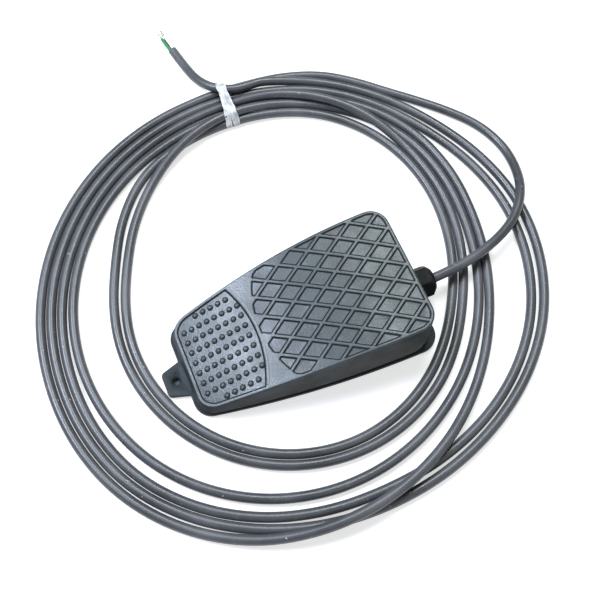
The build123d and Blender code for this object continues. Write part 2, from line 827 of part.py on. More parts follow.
def tube(name, points, radius):
    """Round tube along straight runs joined by tangent arcs, with its facts printed."""
    radii = bend_radii(points)
    with BuildPart() as made:
        with BuildLine() as line:
            FilletPolyline(*points, radius=radii)
        path = line.wires()[0]
        with BuildSketch(Plane(origin=path @ 0, z_dir=path % 0)):
            Circle(radius)
        sweep(path=path)
    share = made.part.volume / (pi * radius**2 * path.length)
    print(name, "length", round(path.length, 1), "radii", [round(r) for r in radii], "volume", round(share, 3))
    return made


# Inner leads: one to each outer terminal of the switch, and one to the earth terminal
jacket_x = wall_toe_x - gland_tail + 1.0
terminal_end = terminal_root + terminal_length
lead_y = switch_y + inside / 2
core_radius = core_diameter / 2
lead_black = [
    (jacket_x, gland_y + 1.2, gland_z - 1.0),
    (jacket_x - 5.5, gland_y + 1.2, gland_z - 1.0),
    (jacket_x - 9.5, gland_y + 6.5, gland_z - 2.6),
    (terminal_end + 4.5, lead_y, terminal_heights[0]),
    (terminal_end, lead_y, terminal_heights[0]),
]
lead_white = [
    (jacket_x, gland_y + 0.4, gland_z + 1.3),
    (jacket_x - 5.5, gland_y + 0.4, gland_z + 1.3),
    (jacket_x - 9.5, gland_y + 6.3, gland_z + 2.0),
    (terminal_end + 4.5, lead_y, terminal_heights[2]),
    (terminal_end, lead_y, terminal_heights[2]),
]
wire_lift = ring_z + ring_thickness + core_radius
lead_green = [
    (jacket_x, gland_y - 1.4, gland_z - 0.3),
    (jacket_x - 6.8, gland_y - 1.4, gland_z - 0.3),
    (jacket_x - 12.8, gland_y - 3.5, gland_z - 3.3),
    (earth_x, earth_y + 10.0, wire_lift + 0.7),
    (earth_x, earth_y + 5.5, wire_lift),
]
wire_black = tube("wire_black", lead_black, core_radius)
wire_white = tube("wire_white", lead_white, core_radius)
wire_green = tube("wire_green", lead_green, core_radius)

# Cord: from the gland over the coil and round it to the tie, six turns, then a short tail
cord_radius = cord_diameter / 2
lie = cord_radius + lie_gap
lead_route = [
    (jacket_x, gland_y, gland_z),
    (jacket_x + 17.5, gland_y, gland_z + 0.02),
    (jacket_x + 35.0, gland_y, gland_z - 0.02),
    (122.0, -3.4, 14.3),
    (145.0, 3.5, 12.6),
    (165.0, 14.0, 11.6),
    (179.6, 31.0, 10.8),
    (187.2, 51.0, 6.2),
    (188.5, 73.0, lie),
    (180.5, 95.0, lie),
    (165.0, 114.5, lie),
    (148.5, 131.0, lie),
    (131.6, 146.6, lie),
    (114.3, 163.4, lie),
    (94.0, 178.5, lie),
    (70.0, 187.5, lie),
    (46.0, 191.6, lie),
    (27.5, 191.9, lie),
]
tail_route = [
    (11.4, 183.0, 9.6),
    (11.2, 194.0, 10.0),
    (9.2, 206.0, 6.6),
    (5.4, 218.2, lie),
    (2.4, 230.5, lie),
    (0.2, 242.6, lie),
]
cord_lead = tube("cord_lead", lead_route, cord_radius)
cord_tail = tube("cord_tail", tail_route, cord_radius)

# Outer shape of the coil: distances from its middle to the centres of its widest and
# narrowest turns, every 30 degrees from the +X direction
coil_middle = (10.0, 30.0)
coil_outer = [167, 160.5, 162, 162, 164, 166, 169, 173, 167, 156, 159, 167]
coil_inner = [112, 125, 137, 135, 125, 113, 113, 114, 114, 112, 107, 104]
layer = 5.9              # rise of a strand that lies on two others
bunch_outer = 155.5      # upper layer where the turns are tied
bunch_inner = 142.0
bunch_angles = (58.0, 112.0)
crossing_outer = 157.0   # where one turn passes over two others
crossing_inner = 138.0
crossing_angles = (252.0, 292.0)


def polar(radius, angle):
    """Point at a distance and a direction from the coil's middle."""
    return (coil_middle[0] + radius * cos(radians(angle)), coil_middle[1] + radius * sin(radians(angle)))


def ring(radii, grow):
    """Closed smooth outline through one radius every 30 degrees, moved out by grow."""
    with BuildSketch() as sketch:
        with BuildLine():
            points = [polar(radius + grow, 30.0 * step) for step, radius in enumerate(radii)]
            Spline(*points, periodic=True)
        make_face()
    return sketch.sketch


def arc_band(inner, outer, angles):
    """Piece of a ring between two radii and two directions."""
    middle = sum(angles) / 2
    with BuildSketch() as sketch:
        with BuildLine():
            ThreePointArc(*(polar(outer, angle) for angle in (angles[0], middle, angles[1])))
            ThreePointArc(*(polar(inner, angle) for angle in (angles[0], middle, angles[1])))
            for angle in angles:
                Line(polar(inner, angle), polar(outer, angle))
        make_face()
    return sketch.sketch


# Flat white tape wound round the turns, snug on the bunch that it holds
tie_angle = 86.5
tie_width = 8.5
tie_thickness = 0.7
tie_inner = bunch_inner - cord_radius - cord_diameter - 1.0
tie_outer = coil_outer[3] + cord_radius + 1.0
tie_shoulder = cord_diameter + 0.2
tie_shoulder_room = 0.5
bunch_top = cord_diameter + layer
bunch_section = [
    (tie_inner, tie_thickness),
    (tie_outer, tie_thickness),
    (tie_outer, tie_shoulder),
    (bunch_outer + cord_radius + tie_shoulder_room, bunch_top),
    (bunch_inner - cord_radius - tie_shoulder_room, bunch_top),
    (tie_inner, tie_shoulder),
]
tie_radial = (cos(radians(tie_angle)), sin(radians(tie_angle)), 0)
tie_tangent = (-sin(radians(tie_angle)), cos(radians(tie_angle)), 0)
tie_side = Vector(*coil_middle, 0) + Vector(*tie_tangent) * (tie_width / 2)
tie_plane = Plane(origin=tie_side, x_dir=tie_radial, z_dir=Vector(*tie_tangent) * -1)

with BuildPart() as coil_tie:
    with BuildSketch(tie_plane):
        Polygon(*bunch_section, align=None)
        offset(amount=tie_thickness)
        Polygon(*bunch_section, align=None, mode=Mode.SUBTRACT)
    extrude(amount=tie_width)

with BuildPart() as cord_coil:
    with BuildSketch(Plane.XY):
        add(ring(coil_outer, cord_radius))
        add(ring(coil_inner, -cord_radius), mode=Mode.SUBTRACT)
    extrude(amount=cord_diameter)
    with BuildSketch(Plane.XY.offset(cord_diameter - weld)):
        add(arc_band(bunch_inner - cord_radius, bunch_outer + cord_radius, bunch_angles))
        add(arc_band(crossing_inner, crossing_outer, crossing_angles))
    extrude(amount=layer + weld)
    # Waist inside the tape
    with BuildSketch(tie_plane):
        with Locations(((tie_inner + tie_outer) / 2, 0)):
            Rectangle(slab / 2, slab / 2)
        Polygon(*bunch_section, align=None, mode=Mode.SUBTRACT)
    extrude(amount=tie_width, mode=Mode.SUBTRACT)
    add(cord_lead.part, mode=Mode.SUBTRACT)
    add(cord_tail.part, mode=Mode.SUBTRACT)

# Stripped end of the cord: three insulated cores with bare tips
core_length = 14.0
tip_length = 6.0
core_places = [(-0.9, -1.5), (-0.9, 1.5), (1.6, 0.0)]
end_point = Vector(*tail_route[-1])
end_way = (end_point - Vector(*tail_route[-2])).normalized()
with BuildPart() as cord_cores:
    with BuildSketch(Plane(origin=end_point, x_dir=(0, 0, 1), z_dir=end_way)):
        with Locations(*core_places):
            Circle(core_radius)
    extrude(amount=core_length)

with BuildPart() as cord_strands:
    with BuildSketch(Plane(origin=end_point + end_way * core_length, x_dir=(0, 0, 1), z_dir=end_way)):
        with Locations(*core_places):
            Circle(conductor_diameter / 2)
    extrude(amount=tip_length)

nodes = {
    "base": base,
    "rubber_feet": rubber_feet,
    "hinge_pin": hinge_pin,
    "hinge_clips": hinge_clips,
    "return_spring": return_spring,
    "switch_case": switch_case,
    "switch_cover": switch_cover,
    "switch_plunger": switch_plunger,
    "switch_lever": switch_lever,
    "lever_pin": lever_pin,
    "switch_terminals": switch_terminals,
    "switch_screws": switch_screws,
    "bumpers": bumpers,
    "earth_terminal": earth_terminal,
    "earth_screw": earth_screw,
    "wire_black": wire_black,
    "wire_white": wire_white,
    "wire_green": wire_green,
    "gland_body": gland_body,
    "gland_seal": gland_seal,
    "gland_nut": gland_nut,
    "gland_lock_nut": gland_lock_nut,
    "pedal": pedal,
    "actuator_screw": actuator_screw,
    "actuator_lock_nut": actuator_lock_nut,
    "cord_lead": cord_lead,
    "cord_coil": cord_coil,
    "cord_tail": cord_tail,
    "coil_tie": coil_tie,
    "cord_cores": cord_cores,
    "cord_strands": cord_strands,
}
for name, node in nodes.items():
    node.part.label = name
    export_step(node.part, f"parts/{name}.step")
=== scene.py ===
# %% [markdown]
# # A foot switch with its coil of cord, dressed around its CAD frame
# The CAD model is loaded first, and every piece below is placed in the same metres, so nothing
# has to be fitted by eye.

# %% Load the frame
from math import asin, atan2, cos, hypot, pi, radians, sin, sqrt

import bmesh
import bpy
import numpy as np
from mathutils import Matrix, Vector, geometry, noise


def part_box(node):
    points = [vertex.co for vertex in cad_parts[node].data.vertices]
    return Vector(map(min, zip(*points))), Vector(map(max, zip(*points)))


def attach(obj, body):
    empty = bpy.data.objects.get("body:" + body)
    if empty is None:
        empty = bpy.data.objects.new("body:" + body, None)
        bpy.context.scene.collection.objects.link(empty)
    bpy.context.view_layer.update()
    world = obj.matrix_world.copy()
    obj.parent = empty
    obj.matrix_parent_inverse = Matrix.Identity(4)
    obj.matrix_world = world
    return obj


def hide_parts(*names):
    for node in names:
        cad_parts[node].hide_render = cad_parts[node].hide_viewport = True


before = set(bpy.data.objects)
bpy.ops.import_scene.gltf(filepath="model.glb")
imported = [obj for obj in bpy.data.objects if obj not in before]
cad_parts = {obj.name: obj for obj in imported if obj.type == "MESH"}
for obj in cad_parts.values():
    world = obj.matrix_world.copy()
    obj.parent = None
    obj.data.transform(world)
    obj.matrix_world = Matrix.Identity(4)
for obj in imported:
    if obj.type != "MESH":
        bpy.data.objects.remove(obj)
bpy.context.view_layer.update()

MM = 0.001


# %% [markdown]
# ## Camera
# The camera stands off the pedal's low end and looks down steeply, 23 degrees off the vertical.
# A look-at point and an up direction are easier to read than three angles, and the rotation is
# built from them: a camera looks along its own -Z, with +Y up in the picture.

# %% Camera
camera_spot = Vector((-0.0751, -0.1895, 0.5347))
camera_aim = Vector((0.0100, 0.0196, 0.0))
picture_up = Vector((0.3588, 0.8486, 0.3889))

forward = (camera_aim - camera_spot).normalized()
right = forward.cross(picture_up).normalized()
up = right.cross(forward)
camera_data = bpy.data.cameras.new("camera")
camera_data.lens = 52.5
camera_data.sensor_width = 36
camera = bpy.data.objects.new("camera", camera_data)
turned = Matrix((right, up, -forward)).transposed().to_4x4()
camera.matrix_world = Matrix.Translation(camera_spot) @ turned
bpy.context.collection.objects.link(camera)
bpy.context.scene.camera = camera
bpy.context.scene.view_settings.view_transform = "Standard"
print("camera", round((camera_aim - camera_spot).length, 3), "m from what it looks at")


# %% [markdown]
# ## Small helpers
# A finished piece sits at the origin with its place in its mesh, as the CAD nodes do. One helper
# turns a bmesh into an object, and another also smooths it and hangs it on the CAD body that
# carries it.

# %% Helpers
def as_object(name, bm):
    """Object of a bmesh, linked to the scene; the bmesh is freed."""
    mesh = bpy.data.meshes.new(name)
    bm.to_mesh(mesh)
    bm.free()
    made = bpy.data.objects.new(name, mesh)
    bpy.context.collection.objects.link(made)
    return made


def settle(piece, body, replaces):
    """Hang a finished object on its body and the nodes it stands for."""
    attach(piece, body)
    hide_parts(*replaces)


def finish_piece(name, bm, material, body, replaces, smooth_angle=35):
    """Make an object of a bmesh in millimetres, dress it and let it ride on a CAD body."""
    bmesh.ops.scale(bm, vec=(MM, MM, MM), verts=bm.verts)
    piece = as_object(name, bm)
    piece.data.materials.append(material)
    piece.data.shade_smooth()
    piece.data.set_sharp_from_angle(angle=radians(smooth_angle))
    settle(piece, body, replaces)
    print(name, len(piece.data.polygons), "faces")
    return piece


# %% [markdown]
# ## Materials
# Every finish is a node tree on Object coordinates, so it stays with its piece. A helper opens
# a Principled shader, and others add noise, ramps and bumps to it.

# %% Shader helper
def new_material(name, colour, roughness, metallic=0.0, specular=0.5):
    """Material with a Principled shader; returns it with its tree and shader."""
    material = bpy.data.materials.new(name)
    material.use_nodes = True
    material.diffuse_color = (*colour, 1)
    shader = material.node_tree.nodes["Principled BSDF"]
    shader.inputs["Base Color"].default_value = (*colour, 1)
    shader.inputs["Roughness"].default_value = roughness
    shader.inputs["Metallic"].default_value = metallic
    shader.inputs["Specular IOR Level"].default_value = specular
    print("material", name)
    return material, material.node_tree, shader


# %% Pattern helpers
def object_coordinates(tree, scale=(1, 1, 1)):
    """Object coordinates, stretched by scale."""
    source = tree.nodes.new("ShaderNodeTexCoord")
    mapping = tree.nodes.new("ShaderNodeMapping")
    mapping.inputs["Scale"].default_value = scale
    tree.links.new(source.outputs["Object"], mapping.inputs["Vector"])
    return mapping.outputs["Vector"]


def noise_texture(tree, vector, scale, detail=4, roughness=0.55):
    """Fractal noise between 0 and 1."""
    node = tree.nodes.new("ShaderNodeTexNoise")
    node.inputs["Scale"].default_value = scale
    node.inputs["Detail"].default_value = detail
    node.inputs["Roughness"].default_value = roughness
    tree.links.new(vector, node.inputs["Vector"])
    return node.outputs["Fac"]


def soft_cells(tree, vector, scale):
    """Distance from the middles of scattered cells, with soft borders."""
    node = tree.nodes.new("ShaderNodeTexVoronoi")
    node.feature = "SMOOTH_F1"
    node.inputs["Scale"].default_value = scale
    tree.links.new(vector, node.inputs["Vector"])
    return node.outputs["Distance"]


def attribute(tree, name):
    """Value that the mesh's corners carry under a name."""
    node = tree.nodes.new("ShaderNodeAttribute")
    node.attribute_name = name
    return node.outputs["Fac"]


# %% Colour, number and bump helpers
def ramp(tree, value, *stops):
    """Grey or coloured ramp through (position, colour) stops."""
    node = tree.nodes.new("ShaderNodeValToRGB")
    elements = node.color_ramp.elements
    while len(elements) < len(stops):
        elements.new(0.5)
    for element, (position, colour) in zip(elements, stops):
        element.position = position
        element.color = (*colour, 1) if isinstance(colour, tuple) else (colour, colour, colour, 1)
    tree.links.new(value, node.inputs["Fac"])
    return node.outputs["Color"]


def drive(tree, shader, socket, value, *stops):
    """Let a ramp over a value set one of the shader's sockets."""
    tree.links.new(ramp(tree, value, *stops), shader.inputs[socket])


def blend(tree, factor, first, second):
    """Mix of two colours; each may be a socket or a plain colour."""
    node = tree.nodes.new("ShaderNodeMix")
    node.data_type = "RGBA"
    for socket, value in zip(("Factor", "A", "B"), (factor, first, second)):
        if isinstance(value, bpy.types.NodeSocket):
            tree.links.new(value, node.inputs[socket])
        elif isinstance(value, tuple):
            node.inputs[socket].default_value = (*value, 1)
        else:
            node.inputs[socket].default_value = value
    return node.outputs["Result"]


def figure(tree, operation, first, second):
    """One arithmetic step between sockets or numbers."""
    node = tree.nodes.new("ShaderNodeMath")
    node.operation = operation
    for socket, value in zip(node.inputs, (first, second)):
        if isinstance(value, bpy.types.NodeSocket):
            tree.links.new(value, socket)
        else:
            socket.default_value = value
    return node.outputs["Value"]


def add_bump(tree, shader, height, distance, strength):
    """Raise the surface by a height field, distance metres for a height of 1."""
    node = tree.nodes.new("ShaderNodeBump")
    node.inputs["Strength"].default_value = strength
    node.inputs["Distance"].default_value = distance
    tree.links.new(height, node.inputs["Height"])
    tree.links.new(node.outputs["Normal"], shader.inputs["Normal"])


# %% [markdown]
# ## Floor and light
# The object lies on white paper under two soft windows behind it and a weak fill in front. What
# the camera and the reflections see of the paper is lifted towards white by Light Path, so the
# background turns white, the light on the object stays plain, and its soft shadow stays too.

# %% Floor
floor_reach = 4.0
floor_mesh = bmesh.new()
bmesh.ops.create_grid(floor_mesh, x_segments=1, y_segments=1, size=floor_reach)
floor = as_object("floor", floor_mesh)
print("floor", 2 * floor_reach, "m wide")

# %% Floor material
paper, paper_lift = (0.62, 0.62, 0.62), 0.62
floor_material, tree, shader = new_material("floor_paper", paper, 0.9, specular=0.0)
light_path = tree.nodes.new("ShaderNodeLightPath")
camera_ray, glossy_ray = (light_path.outputs[name] for name in ("Is Camera Ray", "Is Glossy Ray"))
lift = tree.nodes.new("ShaderNodeEmission")
lift.inputs["Color"].default_value = (1, 1, 1, 1)
lift_seen = figure(tree, "MAXIMUM", camera_ray, glossy_ray)
# Under the lug's hole the paper lies in deep shade, so it is darker there and the lift stops
lug_hole = Vector((-84.55, -3.0))
shade_radius, shaded_paper = 5.0, (0.09, 0.10, 0.11)
to_hole = tree.nodes.new("ShaderNodeVectorMath")
to_hole.operation = "DISTANCE"
tree.links.new(object_coordinates(tree), to_hole.inputs[0])
to_hole.inputs[1].default_value = (*(lug_hole * MM), 0)
open_floor = figure(tree, "GREATER_THAN", to_hole.outputs["Value"], shade_radius * MM)
tree.links.new(blend(tree, open_floor, shaded_paper, paper), shader.inputs["Base Color"])
lift_strength = figure(tree, "MULTIPLY", figure(tree, "MULTIPLY", lift_seen, paper_lift), open_floor)
tree.links.new(lift_strength, lift.inputs["Strength"])
both = tree.nodes.new("ShaderNodeAddShader")
tree.links.new(shader.outputs["BSDF"], both.inputs[0])
tree.links.new(lift.outputs["Emission"], both.inputs[1])
tree.links.new(both.outputs["Shader"], tree.nodes["Material Output"].inputs["Surface"])
floor.data.materials.append(floor_material)


# %% Lights
def softbox(name, spot, aim, size, power, colour):
    """Square area light at spot, turned towards aim."""
    data = bpy.data.lights.new(name, "AREA")
    data.size = size
    data.energy = power
    data.color = colour
    light = bpy.data.objects.new(name, data)
    light.location = spot
    light.rotation_euler = (Vector(aim) - Vector(spot)).to_track_quat("-Z", "Y").to_euler()
    bpy.context.collection.objects.link(light)
    print(name, power, "W")


softbox("window_toe", (0.30, 0.48, 1.16), (0.03, 0.0, 0.0), 0.40, 9.5, (0.92, 1.0, 0.98))
softbox("window_heel", (-0.56, 0.44, 1.02), (-0.05, 0.0, 0.0), 0.36, 14.5, (0.80, 0.88, 1.05))
softbox("fill_front", (0.35, -0.90, 0.90), (0.0, 0.0, 0.0), 0.8, 1.5, (1.0, 0.98, 0.95))

world = bpy.data.worlds.new("studio")
bpy.context.scene.world = world
world.use_nodes = True
sky = world.node_tree.nodes["Background"]
sky.inputs["Color"].default_value = (0.80, 0.83, 0.86, 1)
sky.inputs["Strength"].default_value = 0.30


# %% [markdown]
# ## The cord
# One grey mains cord leaves the gland, passes over its own turns, comes back round the far side
# to the tie and makes six loose turns, which part where nothing holds them. It is one spline:
# the control points of its two ends are listed, and those of the turns made by a loop. A
# quadratic spline cuts inside its control polygon, so the turns' points stand further out.

# %% Cord route
cord_diameter = 6.6 * MM
cord_radius = cord_diameter / 2
jacket_x, gland_y, gland_z = 62.3, -6.0, 15.5      # where the sheath starts, inside the gland
lie = 3.35              # height of the cord's middle where it lies on the floor
lead_route = [
    (jacket_x, gland_y, gland_z),
    (jacket_x + 17.5, gland_y, gland_z + 0.02),
    (jacket_x + 35.0, gland_y, gland_z - 0.02),
    (122.0, -3.4, 14.3),
    (145.0, 3.5, 12.6),
    (165.0, 14.0, 11.6),
    (179.6, 31.0, 10.8),
    (187.2, 51.0, 6.2),
    (188.5, 73.0, lie),
    (180.5, 95.0, lie),
    (165.0, 114.5, lie),
    (148.5, 131.0, lie),
    (131.6, 146.6, lie),
    (114.3, 163.4, lie),
    (94.0, 178.5, lie),
    (70.0, 187.5, lie),
    (46.0, 191.6, lie),
]
tail_route = [
    (40.5, 187.0, 9.0),
    (31.2, 187.0, 9.6),
    (22.4, 189.7, 10.1),
    (15.0, 195.2, 9.5),
    (9.6, 203.0, 7.8),
    (6.0, 212.4, 5.8),
    (3.8, 223.3, 4.2),
    (1.9, 233.3, lie),
    (0.2, 242.6, lie),
]

# Each row is a turn: its distance from the coil's middle at every 30 degrees from the tie round
coil_middle = Vector((10.0, 30.0, 0.0))
turn_radii = [
    [162, 164, 166, 169, 173, 167, 152, 137, 129, 132.5, 146, 150],
    [142, 143, 145, 147, 147, 142, 134, 126, 122, 126, 139, 143],
    [139, 125, 112, 112.5, 114, 114, 112, 107, 104, 112, 126, 136.5],
    [135.5, 134, 120, 120, 121, 121, 119, 115, 111, 119, 132.5, 146.5],
    [149, 150, 152, 155, 159, 153, 146, 150, 156.5, 157.5, 153, 156.5],
    [155.5, 157, 159, 162, 166, 160, 155, 157.3, 164.8, 167, 161.5, 163],
]
last_radius = 158.5
# Where a turn lies on others: degrees round from the tie, and layers up
turn_lifts = [
    [(0, 0), (145, 0), (163, 1.15), (195, 1.15), (212, 0)],
    [(0, 0), (335, 0), (350, 0.9)],
    [(0, 0.87), (12, 0.9), (27, 0)],
    [(0, 0), (300, 0), (318, 1.0), (345, 1.1)],
    [(4, 0)],
    [(0, 0), (328, 0), (345, 0.8)],
]
last_lift = 0.87
tie_rise = 0.4          # room for the tape under the turns
points_per_turn = 24


def smooth_between(values, place):
    """Value at a fractional place in a list, on a smooth curve through its neighbours."""
    index = min(int(place), len(values) - 2)
    share = place - index
    before = values[max(index - 1, 0)]
    here, there = values[index], values[index + 1]
    after = values[min(index + 2, len(values) - 1)]
    start, end = (there - before) / 2, (after - here) / 2
    cube, square = share**3, share**2
    return (
        (2 * cube - 3 * square + 1) * here
        + (cube - 2 * square + share) * start
        + (3 * square - 2 * cube) * there
        + (cube - square) * end
    )


radii = [radius for turn in turn_radii for radius in turn] + [last_radius]
lift_places, lift_values = [], []
for turn, lifts in enumerate(turn_lifts):
    for degrees, layers in lifts:
        lift_places.append(turn + degrees / 360)
        lift_values.append(layers)
lift_places.append(len(turn_lifts))
lift_values.append(last_lift)

tie_direction = 90
radii_per_turn = 12
swell = 1 / (0.75 + 0.25 * cos(2 * pi / points_per_turn))
coil_route = []
for step in range(points_per_turn * len(turn_radii)):
    turns = step / points_per_turn
    angle = radians(tie_direction) + 2 * pi * turns
    radius = smooth_between(radii, turns * radii_per_turn) * swell
    height = lie + cord_diameter / MM * float(np.interp(turns, lift_places, lift_values))
    height += tie_rise * max(0.0, 1 - abs(turns - round(turns)) * radii_per_turn)
    coil_route.append(coil_middle + Vector((radius * cos(angle), radius * sin(angle), height)))

lead, tail = ([Vector(point) for point in part] for part in (lead_route, tail_route))
route = lead + coil_route + tail
print("cord route of", len(route), "points")

# %% Cord spline
curve = bpy.data.curves.new("cord", "CURVE")
curve.dimensions = "3D"
spline = curve.splines.new("NURBS")
spline.points.add(len(route) - 1)
for point, place in zip(spline.points, route):
    point.co = (*(place * MM), 1)
spline.order_u = 3
spline.use_endpoint_u = True
curve.resolution_u = 8


def measure_length(curve_data):
    """Length of a curve with no bevel, and the points along it, from its own mesh."""
    probe = bpy.data.objects.new("probe", curve_data)
    bpy.context.collection.objects.link(probe)
    line = bpy.data.meshes.new_from_object(probe)
    places = [vertex.co.copy() for vertex in line.vertices]
    ends = [edge.vertices for edge in line.edges]
    length = sum((places[a] - places[b]).length for a, b in ends)
    bpy.data.objects.remove(probe)
    bpy.data.meshes.remove(line)
    return length, places


cord_length, cord_places = measure_length(curve)
print("cord length", round(cord_length, 3), "m")
curve.bevel_depth = cord_radius
curve.bevel_resolution = 4
curve.use_fill_caps = True

# %% [markdown]
# ### Its sheath
# Grey PVC with a soft sheen. Handling has left patches, faint scuffs and a few pale specks, so
# colour and roughness wander together in large slow patches, and finer noise adds the rest.

# %% Sheath material
sheath, tree, shader = new_material("cord_sheath", (0.088, 0.090, 0.104), 0.34, specular=0.65)
place = object_coordinates(tree)
patches = noise_texture(tree, place, 26, 3)
colour = ramp(
    tree,
    patches,
    (0.30, (0.046, 0.048, 0.053)),
    (0.52, (0.072, 0.074, 0.083)),
    (0.75, (0.112, 0.113, 0.123)),
)
scuffs = ramp(tree, noise_texture(tree, place, 240, 6, 0.7), (0.60, 0.0), (0.74, 0.5))
colour = blend(tree, scuffs, colour, (0.17, 0.17, 0.18))
specks = ramp(tree, noise_texture(tree, place, 420, 4, 0.6), (0.705, 0.0), (0.72, 0.9))
colour = blend(tree, specks, colour, (0.62, 0.60, 0.57))
tree.links.new(colour, shader.inputs["Base Color"])
drive(tree, shader, "Roughness", patches, (0.3, 0.30), (0.7, 0.44))
add_bump(tree, shader, noise_texture(tree, place, 900, 2), 0.09 * MM, 0.6)
curve.materials.append(sheath)

cord = bpy.data.objects.new("cord", curve)
bpy.context.collection.objects.link(cord)
settle(cord, "base", ("cord_lead", "cord_coil", "cord_tail"))


# %% [markdown]
# ## The pedal casting
# The pedal is one casting: a wedge with a crowned top, 3 mm walls, a lattice of ribs over most of
# the top and a pad of studs at the heel. A subdivided cube could be sculpted into it, but its
# outline is made of true arcs, so the walls are rings of points on two outlines, one at the floor
# and one at the height of the tall end, joined ring to ring with bridge_loops.

# %% Pedal sizes, in millimetres
heel_foot, toe_foot, half_foot, bow_foot = -78.6, 79.5, 46.0, 714.0
heel_crest, toe_crest, half_crest, bow_crest = -68.45, 76.25, 44.1, 621.0
heel_corner, toe_corner_foot, toe_corner_crest = 12.0, 20.0, 12.0
widest_x = 65.75
crest_level = 42.8
crown_x, crown_height, crown_radius = 83.75, 41.8, 445.0
hinge_x, hinge_z = -58.0, 9.0
skirt_heel_z, skirt_toe_z = 4.7, 9.5
pedal_wall, top_plate, recess = 3.0, 3.0, 0.8
edge_round, foot_round = 1.1, 0.45
rim_line = 1.25         # plan line inside the top edge where the pattern starts
end_steps, corner_steps, side_steps = 5, 10, 36
tile_length, tile_width = 20.7, 13.7
lattice_node_x = 73.45
lattice_circle = (50.8, 76.65)      # centre on the axis, and radius
pad_circle = (-107.9, 81.65)
# Distance from a rib's middle, and how much of the recess's depth is reached there
rib_profile = [(0.0, 0.0), (0.55, 0.0), (0.75, 0.10), (0.95, 0.45), (1.15, 0.85), (1.45, 1.0)]
rib_steps = [distance for distance, depth in rib_profile[1:]] + [1.9]
rib_gap = 1 / sqrt(1 / tile_length**2 + 1 / tile_width**2)      # from rib to rib of a family
soft_corner = 0.22      # how softly two ribs run together
smallest_tile = 7.0     # square millimetres of floor


# %% Pedal heights
def crown_z(x, drop=0.0):
    """Height of the crowned top at x, or of a surface that lies drop below it."""
    return crown_height - crown_radius + sqrt((crown_radius - drop) ** 2 - (crown_x - x) ** 2)


def underside_z(x):
    """Height of the underside of the top plate."""
    return crown_z(x, recess + top_plate)


def skirt_z(x):
    """Height of the skirt's foot, which rises towards the toe to leave room for the travel."""
    share = (x - heel_foot) / (toe_foot - heel_foot)
    return skirt_heel_z + share * (skirt_toe_z - skirt_heel_z)


# %% Pedal outlines
def plan_points(heel, toe, half, bow, heel_round, toe_round):
    """Plan of the pedal: straight ends, round corners and bowed sides, all the way round."""
    bow_centre = Vector((widest_x, half - bow))

    def corner(end, radius, way):
        """End line and corner arc, from the middle of an end to the side."""
        centre = Vector((end - way * radius, 0))
        centre.y = bow_centre.y + sqrt((bow - radius) ** 2 - (centre.x - widest_x) ** 2)
        touch = centre - bow_centre
        start = 0 if way > 0 else pi
        points = [Vector((end, centre.y * step / end_steps)) for step in range(end_steps)]
        for step in range(corner_steps + 1):
            angle = start + (atan2(touch.y, touch.x) - start) * step / corner_steps
            points.append(centre + radius * Vector((cos(angle), sin(angle))))
        return points

    heel_part = corner(heel, heel_round, -1)
    toe_part = corner(toe, toe_round, 1)
    first, last = heel_part[-1].x, toe_part[-1].x
    side = []
    for step in range(1, side_steps):
        x = first + (last - first) * step / side_steps
        side.append(Vector((x, bow_centre.y + sqrt(bow**2 - (x - widest_x) ** 2))))
    upper = heel_part + side + toe_part[::-1]
    return upper + [Vector((point.x, -point.y)) for point in upper[-2:0:-1]]


foot_plan = plan_points(heel_foot, toe_foot, half_foot, bow_foot, heel_corner, toe_corner_foot)
crest_plan = plan_points(heel_crest, toe_crest, half_crest, bow_crest, heel_corner, toe_corner_crest)
print("pedal outlines of", len(foot_plan), "points")


# %% Wall rings
def wall_ring(height, inset=0.0):
    """Points round the wall where it reaches height(x), moved inwards by inset."""
    level = []
    for foot, crest in zip(foot_plan, crest_plan):
        share = 0.5
        for _ in range(6):
            share = height(foot.lerp(crest, share).x) / crest_level
        level.append(foot.lerp(crest, share))
    ring = []
    for index, point in enumerate(level):
        along = level[(index + 1) % len(level)] - level[index - 1]
        inwards = Vector((along.y, -along.x)).normalized()
        moved = point + inwards * inset
        ring.append(Vector((moved.x, moved.y, height(moved.x))))
    return ring


def add_ring(bm, points):
    """Closed loop of edges through points."""
    verts = [bm.verts.new(point) for point in points]
    return [bm.edges.new((verts[i - 1], verts[i])) for i in range(len(verts))]


# %% [markdown]
# ### Its walls
# The rings run from the underside of the top plate down the inner face, round the skirt's foot
# and up the outer face to the top edge. The rim's rings inside that edge are left flat, at height
# 0, because the pattern is cut into a flat sheet, which is lifted onto the crown afterwards.

# %% Wall helpers
WALL, UNDER, RIM, LATTICE, PAD = range(5)       # material index as a mark on the faces


def fillet_row(angle):
    """Ring on the rounded top edge, from 0 on the wall to 90 degrees on the top."""
    drop = edge_round * (1 - sin(radians(angle)))
    return wall_ring(lambda x: crown_z(x, drop), edge_round * (1 - cos(radians(angle))))


def verts_of(bm, *marks):
    """Corners of the faces with any of the marks."""
    return {vert for face in bm.faces if face.material_index in marks for vert in face.verts}


def marked(bm, mark):
    """Faces with a mark, with their edges and corners, as the cuts want them."""
    faces = [face for face in bm.faces if face.material_index == mark]
    edges = {edge for face in faces for edge in face.edges}
    return faces + list(edges) + list(verts_of(bm, mark))


def knife_cut(bm, mark, place, facing):
    """Cut the marked faces along a plane."""
    bmesh.ops.bisect_plane(bm, geom=marked(bm, mark), dist=0.0001, plane_co=place, plane_no=facing)


def cut_across(bm, mark, spots):
    """Cut the marked faces across the pedal at each x, so that they can follow the crown."""
    for x in spots:
        knife_cut(bm, mark, (x, 0, 0), (1, 0, 0))


